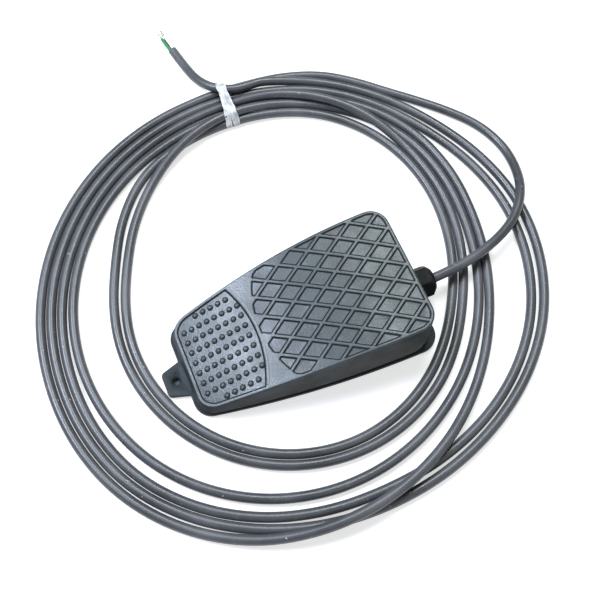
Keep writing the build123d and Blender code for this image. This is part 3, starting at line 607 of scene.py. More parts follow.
# %% Walls
foot_chamfer = 0.13     # where the foot's rounding is half way round
casting = bmesh.new()
rows = [
    wall_ring(underside_z, pedal_wall),
    wall_ring(skirt_z, pedal_wall),
    wall_ring(skirt_z, foot_round),
    wall_ring(lambda x: skirt_z(x) + foot_chamfer, foot_chamfer),
    wall_ring(lambda x: skirt_z(x) + foot_round),
    wall_ring(lambda x: (skirt_z(x) + crown_z(x)) / 2),
]
rows += [fillet_row(angle) for angle in (0, 15, 30, 45, 60, 75, 90)]
for step in (0.0, *rib_steps):
    rows.append([Vector((point.x, point.y, 0)) for point in wall_ring(crown_z, rim_line + step)])
loops = [add_ring(casting, row) for row in rows]
for lower, upper in zip(loops, loops[1:]):
    made = bmesh.ops.bridge_loops(casting, edges=lower + upper)
    for face in made["faces"]:
        face.material_index = RIM if all(abs(vert.co.z) < 0.001 for vert in face.verts) else WALL
underside = bmesh.ops.contextual_create(casting, geom=loops[0])["faces"][0]
sheet = bmesh.ops.contextual_create(casting, geom=loops[-1])["faces"][0]
underside.material_index = UNDER
sheet.material_index = RIM
cut_across(casting, UNDER, np.arange(-66, 74, 8.0))
for vert in verts_of(casting, UNDER):
    vert.co.z = underside_z(vert.co.x)
print("walls", len(casting.faces), "faces")


# %% [markdown]
# ### Its top
# The pattern is cut into a flat sheet with the knife of bmesh, bisect_plane. Each rib is twelve
# parallel cuts, six to a side, which give it a flat crest, round shoulders and a soft foot once
# the sheet is lifted. The rim's rings are nested at the same distances as the cuts. The two
# curved borders can't be cut by a plane, so every edge that crosses a circle is split at the
# crossing, and face_split joins the crossings with an arc of points.

# %% Round cuts
arc_step = 0.033        # radians from point to point of an arc


def cut_circle(bm, centre_x, radius):
    """Cut the flat sheet along a circle centred on the axis."""
    faces = [face for face in bm.faces if face.material_index == RIM]
    crossings = set()
    for edge in {edge for face in faces for edge in face.edges}:
        a, b = edge.verts
        inside = [hypot(v.co.x - centre_x, v.co.y) < radius for v in (a, b)]
        if inside[0] != inside[1]:
            near, far = 0.0, 1.0
            for _ in range(30):
                middle = (near + far) / 2
                spot = a.co.lerp(b.co, middle)
                if (hypot(spot.x - centre_x, spot.y) < radius) == inside[0]:
                    near = middle
                else:
                    far = middle
            crossings.add(bmesh.utils.edge_split(edge, a, near)[1])
    for face in faces:
        ends = [vert for vert in face.verts if vert in crossings]
        if len(ends) != 2:
            continue
        outwards = 1 if centre_x < 0 else -1
        angles = [asin(vert.co.y / radius) for vert in ends]
        steps = max(1, round(abs(angles[1] - angles[0]) / arc_step))
        arc = []
        for step in range(1, steps):
            angle = angles[0] + (angles[1] - angles[0]) * step / steps
            arc.append(Vector((centre_x + outwards * radius * cos(angle), radius * sin(angle), 0)))
        bmesh.utils.face_split(face, ends[0], ends[1], coords=arc)


# %% Distances and depths
def loop_distances(points, outline):
    """Distance in plan of every point from a closed outline."""
    start = np.array(outline)
    along = np.roll(start, -1, axis=0) - start
    away = np.array(points)[:, None, :] - start
    share = np.clip((away * along).sum(axis=2) / (along**2).sum(axis=1), 0, 1)
    return np.linalg.norm(away - share[..., None] * along, axis=2).min(axis=1)


def depth_at(distances):
    """Depth below the crown where ribs and borders are at these distances."""
    reached = []
    for distance in distances:
        reached.append(float(np.interp(distance, *zip(*rib_profile))))
    soft = -soft_corner * np.log(sum(np.exp(-depth / soft_corner) for depth in reached))
    return recess * max(0.0, float(soft)) if min(reached) < 1 else recess


def rib_shares(x, y):
    """Place among the two families of ribs; whole numbers lie on the ribs."""
    return [(x - lattice_node_x) / tile_length + way * y / tile_width for way in (1, -1)]


def border_distances(x, y, from_rim):
    """Distances from the borders and ribs round a point; none where the top is plain."""
    from_pad = pad_circle[1] - hypot(x - pad_circle[0], y)
    from_lattice = lattice_circle[1] - hypot(x - lattice_circle[0], y)
    if from_pad > -0.001:
        return [from_rim, from_pad]
    if from_lattice > -0.001:
        ribs = [abs(share - round(share)) * rib_gap for share in rib_shares(x, y)]
        return [from_rim, from_lattice, *ribs]
    return [0.0]


# %% Cut the pattern
for centre_x, radius in (pad_circle, lattice_circle):
    for step in (0.0, *rib_steps):
        cut_circle(casting, centre_x, radius - step)
for face in casting.faces:
    if face.material_index == RIM:
        middle = face.calc_center_median()
        for mark, (centre_x, radius) in ((PAD, pad_circle), (LATTICE, lattice_circle)):
            if any(hypot(vert.co.x - centre_x, vert.co.y) < radius - 0.01 for vert in face.verts):
                face.material_index = mark
for number in range(-9, 4):
    for way in (1, -1):
        across = Vector((1 / tile_length, way / tile_width, 0)).normalized()
        middle = Vector((lattice_node_x + number * tile_length, 0, 0))
        for distance in rib_steps:
            for side in (1, -1):
                knife_cut(casting, LATTICE, middle + across * side * distance, across)
for mark in (RIM, LATTICE, PAD):
    cut_across(casting, mark, np.arange(-70, 78, 4.0))
print("top sheet", len(casting.faces), "faces")


# %% [markdown]
# Every corner of the sheet now gets its depth from its distances to the ribs and borders. A tile
# that a border leaves too small is filled, as a pattern maker would do.

# %% Lift the sheet
rim_outline = [(point.x, point.y) for point in wall_ring(crown_z, rim_line)]
sheet_verts = list(verts_of(casting, RIM, LATTICE, PAD))
rim_gaps = loop_distances([(vert.co.x, vert.co.y) for vert in sheet_verts], rim_outline)
drops = {}
for vert, from_rim in zip(sheet_verts, rim_gaps):
    drops[vert] = depth_at(border_distances(vert.co.x, vert.co.y, float(from_rim)))
tiles = {}
for face in casting.faces:
    if face.material_index == LATTICE:
        middle = face.calc_center_median()
        tiles.setdefault(tuple(share // 1 for share in rib_shares(middle.x, middle.y)), []).append(face)
for faces in tiles.values():
    open_area = sum(face.calc_area() for face in faces if all(drops[v] > 0.95 * recess for v in face.verts))
    if open_area < smallest_tile:
        for vert in {vert for face in faces for vert in face.verts}:
            drops[vert] = 0.0
for vert in sheet_verts:
    vert.co.z = crown_z(vert.co.x, drops[vert])
bmesh.ops.recalc_face_normals(casting, faces=casting.faces)
open_edges = [edge for edge in casting.edges if not edge.is_manifold]
print("casting", len(casting.faces), "faces,", len(open_edges), "open edges,", len(tiles), "tiles")


# %% [markdown]
# ### Its studs and bead
# A stud is a small flared dome. Half its outline is spun once round, then copied to every place
# and leaned square to the crown. The bead along the pad's border is a half round swept the same
# way, with spin, about the middle of the pad's circle.

# %% Studs and bead
stud_profile = [(2.15, -0.03), (1.85, 0.09), (1.70, 0.38), (1.50, 0.80)]
stud_profile += [(1.12, 1.13), (0.55, 1.29), (0.0, 1.33)]
stud_first_x, stud_pitch_x, stud_pitch_y = -69.1, 5.27, 7.15
stud_columns, stud_rows = 8, 9
bead_radius, bead_width, bead_height, bead_reach = 81.95, 1.3, 0.5, 34.6


def spun(profile, steps):
    """Closed round form from (radius, height) pairs that end on the axis."""
    form = bmesh.new()
    verts = [form.verts.new((radius, 0, height)) for radius, height in profile]
    edges = [form.edges.new(pair) for pair in zip(verts, verts[1:])]
    bmesh.ops.spin(
        form,
        geom=verts + edges,
        cent=(0, 0, 0),
        axis=(0, 0, 1),
        angle=2 * pi,
        steps=steps,
        use_merge=True,
    )
    bmesh.ops.remove_doubles(form, verts=form.verts, dist=0.0005)
    bmesh.ops.holes_fill(form, edges=[edge for edge in form.edges if edge.is_boundary], sides=0)
    bmesh.ops.recalc_face_normals(form, faces=form.faces)
    return form


def join_copy(bm, form, matrix):
    """Add a copy of a small form to a bmesh, placed by a matrix."""
    copy = bpy.data.meshes.new("copy")
    form.to_mesh(copy)
    copy.transform(matrix)
    bm.from_mesh(copy)
    bpy.data.meshes.remove(copy)


stud = spun(stud_profile, 14)
studs = bmesh.new()
for row in range(stud_rows):
    outer = row in (0, stud_rows - 1)
    for column in range(2 if outer else 0, stud_columns - 1 if outer else stud_columns):
        x = stud_first_x + column * stud_pitch_x
        y = (row - (stud_rows - 1) / 2) * stud_pitch_y
        lean = Matrix.Rotation(asin((x - crown_x) / crown_radius), 4, "Y")
        join_copy(studs, stud, Matrix.Translation((x, y, crown_z(x, recess))) @ lean)
stud.free()
print("studs", len(studs.faces), "faces")

bead = bmesh.new()
half_angle = asin(bead_reach / bead_radius)
to_start = Matrix.Rotation(-half_angle, 3, "Z")
pad_middle = Vector((pad_circle[0], 0, 0))
profile = []
for step in range(9):
    angle = pi * step / 8
    spot = Vector((bead_radius + bead_width / 2 * cos(angle), 0, bead_height * sin(angle)))
    profile.append(bead.verts.new(pad_middle + to_start @ spot))
loop = [bead.edges.new(pair) for pair in zip(profile, profile[1:] + profile[:1])]
end_face = bmesh.ops.contextual_create(bead, geom=loop)["faces"][0]
bmesh.ops.spin(
    bead,
    geom=[end_face],
    cent=pad_middle,
    axis=(0, 0, 1),
    angle=2 * half_angle,
    steps=48,
    use_duplicate=False,
)
bmesh.ops.recalc_face_normals(bead, faces=bead.faces)
bead_sunk = 0.06
for vert in bead.verts:
    vert.co.z += crown_z(vert.co.x) - bead_sunk
print("bead", len(bead.faces), "faces")


# %% [markdown]
# ### What hangs inside, and the notch
# The ears, the rest stop, the spring's seat and the screw's boss are closed forms sunk a little
# into the plate, as they are cast. A Boolean modifier cuts the notch that passes over the gland.

# %% Inside
ear_radius, ear_width, ear_start = 4.2, 5.0, 17.0
stop_x, stop_foot, stop_thickness, stop_half = -66.0, 4.15, 3.0, 8.0
spring_x, spring_seat, spring_radius, post_radius, post_length = -16.0, 3.0, 7.5, 3.6, 5.5
contact_x, contact_y, boss_radius, boss_height = 32.0, 7.5, 6.0, 2.5
notch_y, notch_z, notch_radius, notch_start = -6.0, 20.3, 12.55, 72.3
sunk = 0.5


def add_post(bm, x, y, radius, bottom, height):
    """Upright round post."""
    middle = Matrix.Translation((x, y, bottom + height / 2))
    bmesh.ops.create_cone(
        bm, cap_ends=True, segments=32, radius1=radius, radius2=radius, depth=height, matrix=middle
    )


def add_slot_plate(bm, x, y, z, radius, reach, width, plane):
    """Plate of a given width whose outline is a half circle with a straight part of length reach."""
    circle = bmesh.ops.create_circle(bm, cap_ends=True, segments=32, radius=radius, matrix=plane)["verts"]
    face = circle[0].link_faces[0]
    bmesh.ops.translate(bm, verts=circle, vec=(x, y, z))
    far_half = [vert for vert in circle if (vert.co.z - z) * reach > 0.01]
    bmesh.ops.translate(bm, verts=far_half, vec=(0, 0, reach))
    made = bmesh.ops.extrude_face_region(bm, geom=[face])["geom"]
    moved = [item for item in made if isinstance(item, bmesh.types.BMVert)]
    bmesh.ops.translate(bm, verts=moved, vec=width)


upright = Matrix.Rotation(radians(90), 4, "X")
inside = bmesh.new()
for y in (ear_start, -ear_start - ear_width):
    ear_reach = underside_z(hinge_x) + sunk - hinge_z - ear_radius
    add_slot_plate(inside, hinge_x, y, hinge_z, ear_radius, ear_reach, (0, ear_width, 0), upright)
stop_height = underside_z(stop_x - stop_thickness / 2) + sunk - stop_foot
stop_place = Matrix.Translation((stop_x, 0, stop_foot + stop_height / 2))
stop_size = Matrix.Diagonal((stop_thickness, 2 * stop_half, stop_height, 1))
bmesh.ops.create_cube(inside, size=1, matrix=stop_place @ stop_size)
seat_z = underside_z(spring_x) - spring_seat
add_post(inside, spring_x, 0, spring_radius, seat_z, spring_seat + sunk)
add_post(inside, spring_x, 0, post_radius, seat_z - post_length, post_length + sunk)
boss_z = underside_z(contact_x) - boss_height
add_post(inside, contact_x, contact_y, boss_radius, boss_z, boss_height + sunk)
bmesh.ops.recalc_face_normals(inside, faces=inside.faces)
print("inside", len(inside.faces), "faces")

# %% Notch
notch_reach, notch_length = -30.0, 20.0
cutter = bmesh.new()
facing_toe = Matrix.Rotation(radians(90), 4, "Y")
notch_way = (notch_length, 0, 0)
add_slot_plate(cutter, notch_start, notch_y, notch_z, notch_radius, notch_reach, notch_way, facing_toe)
bmesh.ops.recalc_face_normals(cutter, faces=cutter.faces)


def cut_away(bm, tool):
    """Take a tool's shape out of a closed shape with a Boolean modifier, and return the rest."""
    body = as_object("body", bm)
    knife = as_object("knife", tool)
    modifier = body.modifiers.new("cut", "BOOLEAN")
    modifier.operation = "DIFFERENCE"
    modifier.solver = "EXACT"
    modifier.object = knife
    finished = body.evaluated_get(bpy.context.evaluated_depsgraph_get())
    cut_mesh = bpy.data.meshes.new_from_object(finished)
    rest = bmesh.new()
    rest.from_mesh(cut_mesh)
    for item in (body, knife):
        mesh = item.data
        bpy.data.objects.remove(item)
        bpy.data.meshes.remove(mesh)
    bpy.data.meshes.remove(cut_mesh)
    return rest


def merge_form(bm, form):
    """Move a form into a bmesh."""
    join_copy(bm, form, Matrix.Identity(4))
    form.free()


pedal_form = cut_away(casting, cutter)
print("after the notch", len(pedal_form.faces), "faces")
for form in (studs, bead, inside):
    merge_form(pedal_form, form)
bmesh.ops.dissolve_degenerate(pedal_form, dist=0.0008, edges=pedal_form.edges)
print("open edges of the pedal", sum(not edge.is_manifold for edge in pedal_form.edges))


# %% [markdown]
# ### Its paint
# Grey lacquer over a casting. A hammered finish is shallow cells with soft borders, so a smooth
# Voronoi gives the dimples and the mottled tone. Shoes have rubbed the ribs lighter and a few
# chips show pale metal; the crests, the rounded top edge and the bead are also painted lighter
# as a highlight, and painted shade darkens the ribs' feet and slopes. Wear and painted light
# follow the shape, so each corner of the mesh notes how high it stands on a rib and how near it
# is to the foot of one, and the paint reads both as attributes. The skirt has a darker, duller
# copy of the paint, which paints the shade on its faces.

# %% Hammered paint
def make_paint(name, tint, roughness, specular):
    """Hammered lacquer, lighter by rubbed wear and a painted highlight where the ridge attribute is high,
    and darkened by painted shade where the crease attribute is high.
    """
    material, tree, shader = new_material(name, tint, roughness, specular=specular)
    place = object_coordinates(tree)
    ridge_wear_and_highlight, painted_crease_shade = attribute(tree, "ridge_wear_and_highlight"), attribute(tree, "painted_crease_shade")
    dimples = soft_cells(tree, place, 1150)
    patches = noise_texture(tree, place, 38, 5, 0.65)
    fine = noise_texture(tree, place, 1700, 3, 0.6)
    dark = tuple(part * 0.45 for part in tint)
    light = tuple(part * 1.60 for part in tint)
    colour = ramp(tree, patches, (0.30, dark), (0.50, tint), (0.70, light))
    colour = blend(tree, ramp(tree, dimples, (0.15, 0.0), (0.75, 0.8)), colour, light)
    # Rib crests, the rounded edge and the bead are lighter: partly rubbed wear, partly a painted highlight
    rubbed_and_lit = figure(tree, "MULTIPLY", ridge_wear_and_highlight, ramp(tree, fine, (0.42, 0.0), (0.68, 0.6)))
    colour = blend(tree, rubbed_and_lit, colour, tuple(part * 2.4 + 0.02 for part in tint))
    # Painted shade: near black in the creases at the ribs' feet and down their slopes
    colour = blend(tree, painted_crease_shade, colour, (0.004, 0.005, 0.006))
    # Pale metal on the rounded edge and the bead: partly bare rubbed metal, partly a painted highlight
    bare_metal_and_highlight = ramp(tree, ridge_wear_and_highlight, (0.55, 0.0), (1.0, 0.75))
    bare_metal_and_highlight = figure(tree, "MULTIPLY", bare_metal_and_highlight, ramp(tree, fine, (0.30, 0.35), (0.60, 1.0)))
    colour = blend(tree, bare_metal_and_highlight, colour, (0.40, 0.43, 0.47))
    chips = ramp(tree, noise_texture(tree, place, 130, 5, 0.7), (0.735, 0.0), (0.75, 0.85))
    colour = blend(tree, figure(tree, "MULTIPLY", chips, ridge_wear_and_highlight), colour, (0.45, 0.45, 0.42))
    tree.links.new(colour, shader.inputs["Base Color"])
    sheen = ramp(tree, patches, (0.3, roughness + 0.10), (0.7, roughness - 0.04))
    tree.links.new(blend(tree, painted_crease_shade, sheen, (0.9, 0.9, 0.9)), shader.inputs["Roughness"])
    coarse, grain = figure(tree, "MULTIPLY", dimples, 0.7), figure(tree, "MULTIPLY", fine, 0.3)
    relief = figure(tree, "ADD", coarse, grain)
    add_bump(tree, shader, relief, 0.15 * MM, 0.9)
    return material


top_paint = make_paint("hammered_paint", (0.032, 0.043, 0.049), 0.31, 0.50)
# The skirt's paint is a darker, duller copy of the top's, which paints the shade on the skirt
shaded_skirt_paint = make_paint("skirt_paint_shaded", (0.032, 0.036, 0.038), 0.55, 0.20)

# %% Wear, painted highlight and painted shade attributes
inner_step = 3.0        # an outline this far inside the rim's tells the edge from the top
ridge_wear_and_highlight = pedal_form.verts.layers.float.new("ridge_wear_and_highlight")
painted_crease_shade = pedal_form.verts.layers.float.new("painted_crease_shade")
pedal_form.verts.ensure_lookup_table()
plan = [(vert.co.x, vert.co.y) for vert in pedal_form.verts]
rim_gaps = loop_distances(plan, rim_outline)
inner_outline = [(point.x, point.y) for point in wall_ring(crown_z, rim_line + inner_step)]
inner_gaps = loop_distances(plan, inner_outline)
for vert, from_rim, from_inner in zip(pedal_form.verts, rim_gaps, inner_gaps):
    x, y, z = vert.co
    depth = (crown_z(x) - z) / recess
    if depth * recess < edge_round:
        # Crests are made lighter: partly rubbed wear, partly a painted highlight
        vert[ridge_wear_and_highlight] = 0.5 * min(max(1 - depth, 0.0), 1.0)
        if from_inner > inner_step + 0.05 and from_rim < 1.4:
            # The rounded outer edge is made lighter, most of all along the heel: partly rubbed bare, partly
            # a painted highlight
            wear_and_highlight = float(np.interp(x, (-74, -40, 0, 60), (1.0, 0.9, 0.62, 0.5)))
            vert[ridge_wear_and_highlight] = wear_and_highlight * float(np.interp(depth * recess, (0.0, 0.05, 0.5), (0.9, 1.0, 0.0)))
        # The bead's crest gets a painted highlight
        elif depth < -0.1 and abs(hypot(x - pad_circle[0], y) - bead_radius) < bead_width:
            vert[ridge_wear_and_highlight] = 0.9
        # Painted shade at the foot of the ribs and borders, and down their slopes
        elif depth > 0.97:
            near = min(border_distances(x, y, float(from_rim)))
            vert[painted_crease_shade] = float(np.interp(near, (1.15, 1.45, 1.9), (1.0, 0.95, 0.0)))
        else:
            vert[painted_crease_shade] = float(np.interp(depth, (0.02, 0.30, 0.85, 1.0), (0.0, 0.9, 1.0, 1.0)))
print("worn corners", sum(vert[ridge_wear_and_highlight] > 0 for vert in pedal_form.verts))

# %% Finish the pedal
pedal = finish_piece("pedal_casting", pedal_form, top_paint, "pedal", ("pedal",), 50)
pedal.data.materials.append(shaded_skirt_paint)
# Faces below the rounded top edge take the darker copy of the paint: painted shade on the skirt
for face in pedal.data.polygons:
    below = crown_z(face.center.x / MM) - face.center.z / MM
    face.material_index = 1 if below > edge_round * 0.9 else 0
# Flat faces count for more in the shading, so the ribs' crests look flat
weighted = pedal.modifiers.new("even_shading", "WEIGHTED_NORMAL")
weighted.keep_sharp = True
weighted.weight = 80


# %% [markdown]
# ## The base
# Of the base only the flange and the lug show. Its CAD mesh has the right shape with sharp
# edges, so a merged copy gets its outer edges rounded with bevel, as a casting's are.

# %% Base
def merged_copy(node):
    """A CAD node's mesh in millimetres, with its loose triangles joined into flat faces."""
    bm = bmesh.new()
    bm.from_mesh(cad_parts[node].data)
    bmesh.ops.scale(bm, vec=(1 / MM, 1 / MM, 1 / MM), verts=bm.verts)
    bmesh.ops.remove_doubles(bm, verts=bm.verts, dist=0.003)
    bmesh.ops.dissolve_limit(bm, angle_limit=radians(0.5), verts=bm.verts, edges=bm.edges)
    return bm


def round_edges(bm, edges, width, segments, clamp):
    """Round edges with a bevel; the settings are given because bmesh's own defaults differ."""
    bmesh.ops.bevel(
        bm,
        geom=edges,
        offset=width,
        offset_type="OFFSET",
        segments=segments,
        profile=0.5,
        affect="EDGES",
        material=-1,
        clamp_overlap=clamp,
    )


flange_top, flange_bottom, flange_round = 4.0, 0.8, 0.45
countersink_reach, outer_reach = 4.5, 40.0
flange = merged_copy("base")
flange.normal_update()
outer_edges = []
for edge in flange.edges:
    heights = [vert.co.z for vert in edge.verts]
    level = any(all(abs(height - z) < 0.01 for height in heights) for z in (flange_top, flange_bottom))
    away = min((vert.co.xy - lug_hole).length for vert in edge.verts) > countersink_reach
    outer = max(vert.co.xy.length for vert in edge.verts) > outer_reach
    if level and away and outer and edge.is_convex and edge.is_manifold:
        if edge.calc_face_angle() > radians(60):
            outer_edges.append(edge)
print("base edges to round", len(outer_edges))
round_edges(flange, outer_edges, flange_round, 3, True)
base_paint = make_paint("base_paint", (0.020, 0.026, 0.030), 0.5, 0.22)
finish_piece("base_casting", flange, base_paint, "base", ("base",))


# %% [markdown]
# ## The cable gland
# A gland is turned and then milled to a hexagon. The same is done here: its outline is spun
# about the cord's line, and six bisect_plane cuts, filled again, mill the flats, which leaves the
# curved chamfers where the cone runs into them.

# %% Turning and milling
def milled(profile, flats):
    """Ring spun from (x, radius) pairs about the cord's line, milled to a hexagon."""
    form = bmesh.new()
    verts = [form.verts.new((x, gland_y + radius, gland_z)) for x, radius in profile]
    edges = [form.edges.new((verts[i - 1], verts[i])) for i in range(len(verts))]
    middle = Vector((0, gland_y, gland_z))
    bmesh.ops.spin(
        form, geom=verts + edges, cent=middle, axis=(1, 0, 0), angle=2 * pi, steps=60, use_merge=True
    )
    bmesh.ops.remove_doubles(form, verts=form.verts, dist=0.0005)
    bmesh.ops.recalc_face_normals(form, faces=form.faces)
    for side in range(6):
        angle = radians(30 + 60 * side)
        outwards = Vector((0, cos(angle), sin(angle)))
        made = bmesh.ops.bisect_plane(
            form,
            geom=form.verts[:] + form.edges[:] + form.faces[:],
            dist=0.0001,
            plane_co=middle + outwards * flats / 2,
            plane_no=outwards,
            clear_outer=True,
        )
        rim_edges = [item for item in made["geom_cut"] if isinstance(item, bmesh.types.BMEdge)]
        bmesh.ops.holes_fill(form, edges=rim_edges, sides=0)
    corners = []
    for edge in form.edges:
        a, b = (vert.co for vert in edge.verts)
        outside = min(hypot(p.y - gland_y, p.z - gland_z) for p in (a, b)) > flats / 2 * 1.12
        if outside and abs(a.x - b.x) > 2 and edge.is_manifold and edge.calc_face_angle() > radians(30):
            corners.append(edge)
    round_edges(form, corners, 0.5, 2, False)
    bmesh.ops.recalc_face_normals(form, faces=form.faces)
    return form


# %% Gland shapes
collar_flats, nut_flats = 20.0, 19.0
thread_radius, bore_radius, seal_radius = 8.0, 3.7, 6.2
tail_x, collar_x, collar_end, seal_x, thread_x = 61.25, 72.25, 78.25, 83.05, 89.05
nut_x, cone_x, nut_end = 78.75, 90.05, 92.25
collar_profile = [
    (tail_x, bore_radius),
    (tail_x, thread_radius),
    (collar_x, thread_radius),
    (collar_x, 10.9),
    (collar_x + 0.5, 11.55),
    (collar_end - 0.7, 11.55),
    (collar_end, 10.6),
    (collar_end, thread_radius),
    (thread_x, thread_radius),
    (thread_x, seal_radius),
    (seal_x, seal_radius),
    (seal_x, bore_radius),
]
nut_profile = [
    (nut_x, thread_radius + 0.02),
    (nut_x, 10.1),
    (nut_x + 0.7, 10.97),
    (cone_x - 1.6, 10.97),
    (cone_x, 9.45),
    (nut_end - 0.5, 7.75),
    (nut_end, 7.2),
    (nut_end, 4.2),
    (nut_end - 0.5, bore_radius),
    (thread_x + 0.02, bore_radius),
    (thread_x + 0.02, thread_radius + 0.02),
]

# %% Gland
black, worn_black = (0.004, 0.005, 0.005), (0.010, 0.011, 0.011)
nylon, tree, shader = new_material("gland_nylon", black, 0.5, specular=0.14)
place = object_coordinates(tree)
drive(tree, shader, "Base Color", noise_texture(tree, place, 60, 4), (0.35, black), (0.7, worn_black))
drive(tree, shader, "Roughness", noise_texture(tree, place, 300, 4), (0.3, 0.44), (0.7, 0.58))
add_bump(tree, shader, noise_texture(tree, place, 1800, 3), 0.03 * MM, 0.5)
collar, nut = milled(collar_profile, collar_flats), milled(nut_profile, nut_flats)
finish_piece("gland_collar", collar, nylon, "base", ("gland_body",))
finish_piece("gland_cap", nut, nylon, "base", ("gland_nut",))


# %% [markdown]
# ## The tie
# White tape holds the turns together. Stretched tape takes the convex hull of what it goes
# round, so its line is the hull of the cord's sections where the tie's plane cuts the turns.
# Three windings of it lean different ways, and the last one is bunched.

# %% Turns in the tie
tie_angle = radians(86.5)
outwards = Vector((cos(tie_angle), sin(tie_angle), 0))
along_cord = Vector((-sin(tie_angle), cos(tie_angle), 0))
tie_radius, tie_reach = 148, 25
tie_middle = coil_middle + outwards * tie_radius
tape_thickness = 0.28

sections = []
places = [place / MM for place in cord_places]
for a, b in zip(places, places[1:]):
    before, after = ((point - tie_middle).dot(along_cord) for point in (a, b))
    spot = a.lerp(b, before / (before - after)) if before * after < 0 else None
    if spot and (spot - tie_middle).length < tie_reach:
        sections.append(Vector(((spot - tie_middle).dot(outwards), spot.z)))
print("turns in the tie", len(sections))


# %% Tape
hull_points, winding_steps = 120, 8


def hull_line(room):
    """Evenly spaced points on the hull of the turns' sections, a little outside them."""
    rims = []
    for section in sections:
        for step in range(24):
            angle = 2 * pi * step / 24
            rims.append(section + (cord_radius / MM + room) * Vector((cos(angle), sin(angle))))
    corners = [rims[index] for index in geometry.convex_hull_2d(rims)]
    lengths = [0.0]
    for a, b in zip(corners, corners[1:] + corners[:1]):
        lengths.append(lengths[-1] + (b - a).length)
    line = []
    for step in range(hull_points):
        goal = lengths[-1] * step / hull_points
        index = max(i for i, length in enumerate(lengths[:-1]) if length <= goal)
        share = (goal - lengths[index]) / (lengths[index + 1] - lengths[index])
        line.append(corners[index].lerp(corners[(index + 1) % len(corners)], share))
    return line


def winding(bm, room, width, offset, lean, pleats):
    """One turn of tape: its hull line, extruded across into a band with a little slack."""
    line = hull_line(room)
    loop = []
    for index, point in enumerate(line):
        share = index / len(line)
        drift = offset + lean * sin(2 * pi * share + 0.6)
        place = tie_middle + outwards * point.x + along_cord * (drift - width / 2)
        loop.append(bm.verts.new((place.x, place.y, max(point.y, tape_thickness))))
    edges = [bm.edges.new((loop[i - 1], loop[i])) for i in range(len(loop))]
    for step in range(winding_steps):
        made = bmesh.ops.extrude_edge_only(bm, edges=edges)["geom"]
        edges = [item for item in made if isinstance(item, bmesh.types.BMEdge)]
        moved = {vert for edge in edges for vert in edge.verts}
        bmesh.ops.translate(bm, verts=list(moved), vec=along_cord * width / winding_steps)
    for vert in bm.verts:
        across = (vert.co - tie_middle).dot(along_cord)
        out = Vector(((vert.co - tie_middle).dot(outwards), vert.co.z - 6)).normalized()
        slack = 0.12 * (1 + sin(pleats * across + 1.3 * noise.noise(vert.co * 0.4)))
        if vert.co.z > 2:
            vert.co += outwards * out.x * slack + Vector((0, 0, out.y * slack))
        vert.co += along_cord * 0.5 * noise.noise(vert.co * 0.25 + Vector((room * 9, 0, 0)))


# %% Tie
# Each winding's room over the cord, its width, offset along the cord, lean and pleats
windings = [(0.10, 4.6, -2.0, 0.9, 2.6), (0.30, 4.2, 1.6, -1.3, 3.4), (0.50, 3.4, -0.2, 1.7, 5.0)]
tape = bmesh.new()
for room, width, offset, lean, pleats in windings:
    turn = bmesh.new()
    winding(turn, room, width, offset, lean, pleats)
    bmesh.ops.recalc_face_normals(turn, faces=turn.faces)
    bmesh.ops.solidify(turn, geom=turn.faces[:], thickness=tape_thickness * 0.6)
    merge_form(tape, turn)

tape_white, tree, shader = new_material("white_tape", (0.86, 0.86, 0.85), 0.55, specular=0.4)
place = object_coordinates(tree)
threads = noise_texture(tree, object_coordinates(tree, (1, 8, 8)), 700, 2)
soiled, clean = (0.40, 0.40, 0.42), (0.74, 0.74, 0.74)
drive(tree, shader, "Base Color", noise_texture(tree, place, 220, 3), (0.32, soiled), (0.62, clean))
drive(tree, shader, "Roughness", threads, (0.3, 0.42), (0.7, 0.62))
add_bump(tree, shader, threads, 0.12 * MM, 0.9)
tie = finish_piece("tape_tie", tape, tape_white, "base", ("coil_tie",), 50)


# %% [markdown]
# ## The stripped end
# Three insulated cores come out of the sheath side by side, each with a bare tip of tinned
# strands. A short rod is turned once with spin, and copied to each core's place at the cord's end.

# %% Place of the cores
core_radius, core_length, tip_length = 1.05, 14.0, 6.0
core_places = {"black": (-0.9, -1.5), "white": (-0.9, 1.5), "green": (1.6, 0.0)}
core_colours = {"black": (0.012, 0.012, 0.013), "white": (0.78, 0.78, 0.76), "green": (0.03, 0.22, 0.07)}
core_low, core_high = (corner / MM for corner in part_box("cord_cores"))
end_way = (Vector(tail_route[-1]) - Vector(tail_route[-2])).normalized()
end_place = Vector((places[-1].x, places[-1].y, lie))
end_frame = Matrix.Translation(end_place) @ end_way.to_track_quat("Z", "Y").to_matrix().to_4x4()
print("cores from", [round(c, 1) for c in end_place])
print("CAD box", [round(c, 1) for c in core_low], [round(c, 1) for c in core_high])


# %% Insulation
def core_material(name, colour):
    """Glossy insulation of one colour, faintly uneven."""
    material, tree, shader = new_material(name, colour, 0.3)
    place = object_coordinates(tree)
    lighter = tuple(min(1.0, part * 1.25 + 0.01) for part in colour)
    drive(tree, shader, "Base Color", noise_texture(tree, place, 300, 3), (0.35, colour), (0.75, lighter))
    drive(tree, shader, "Roughness", noise_texture(tree, place, 700, 3), (0.3, 0.24), (0.7, 0.42))
    return material


core_materials = {name: core_material("core_" + name, colour) for name, colour in core_colours.items()}

# %% Cores
core_profile = [(0.0, -0.3), (core_radius, -0.3), (core_radius, core_length - 0.2)]
core_profile += [(core_radius - 0.2, core_length), (0.0, core_length)]
rod = spun(core_profile, 20)
for name, (x, y) in core_places.items():
    core = bmesh.new()
    join_copy(core, rod, end_frame @ Matrix.Translation((x, y, 0)))
    finish = core_materials[name]
    piece = finish_piece("core_" + name, core, finish, "base", ("cord_cores",))
rod.free()

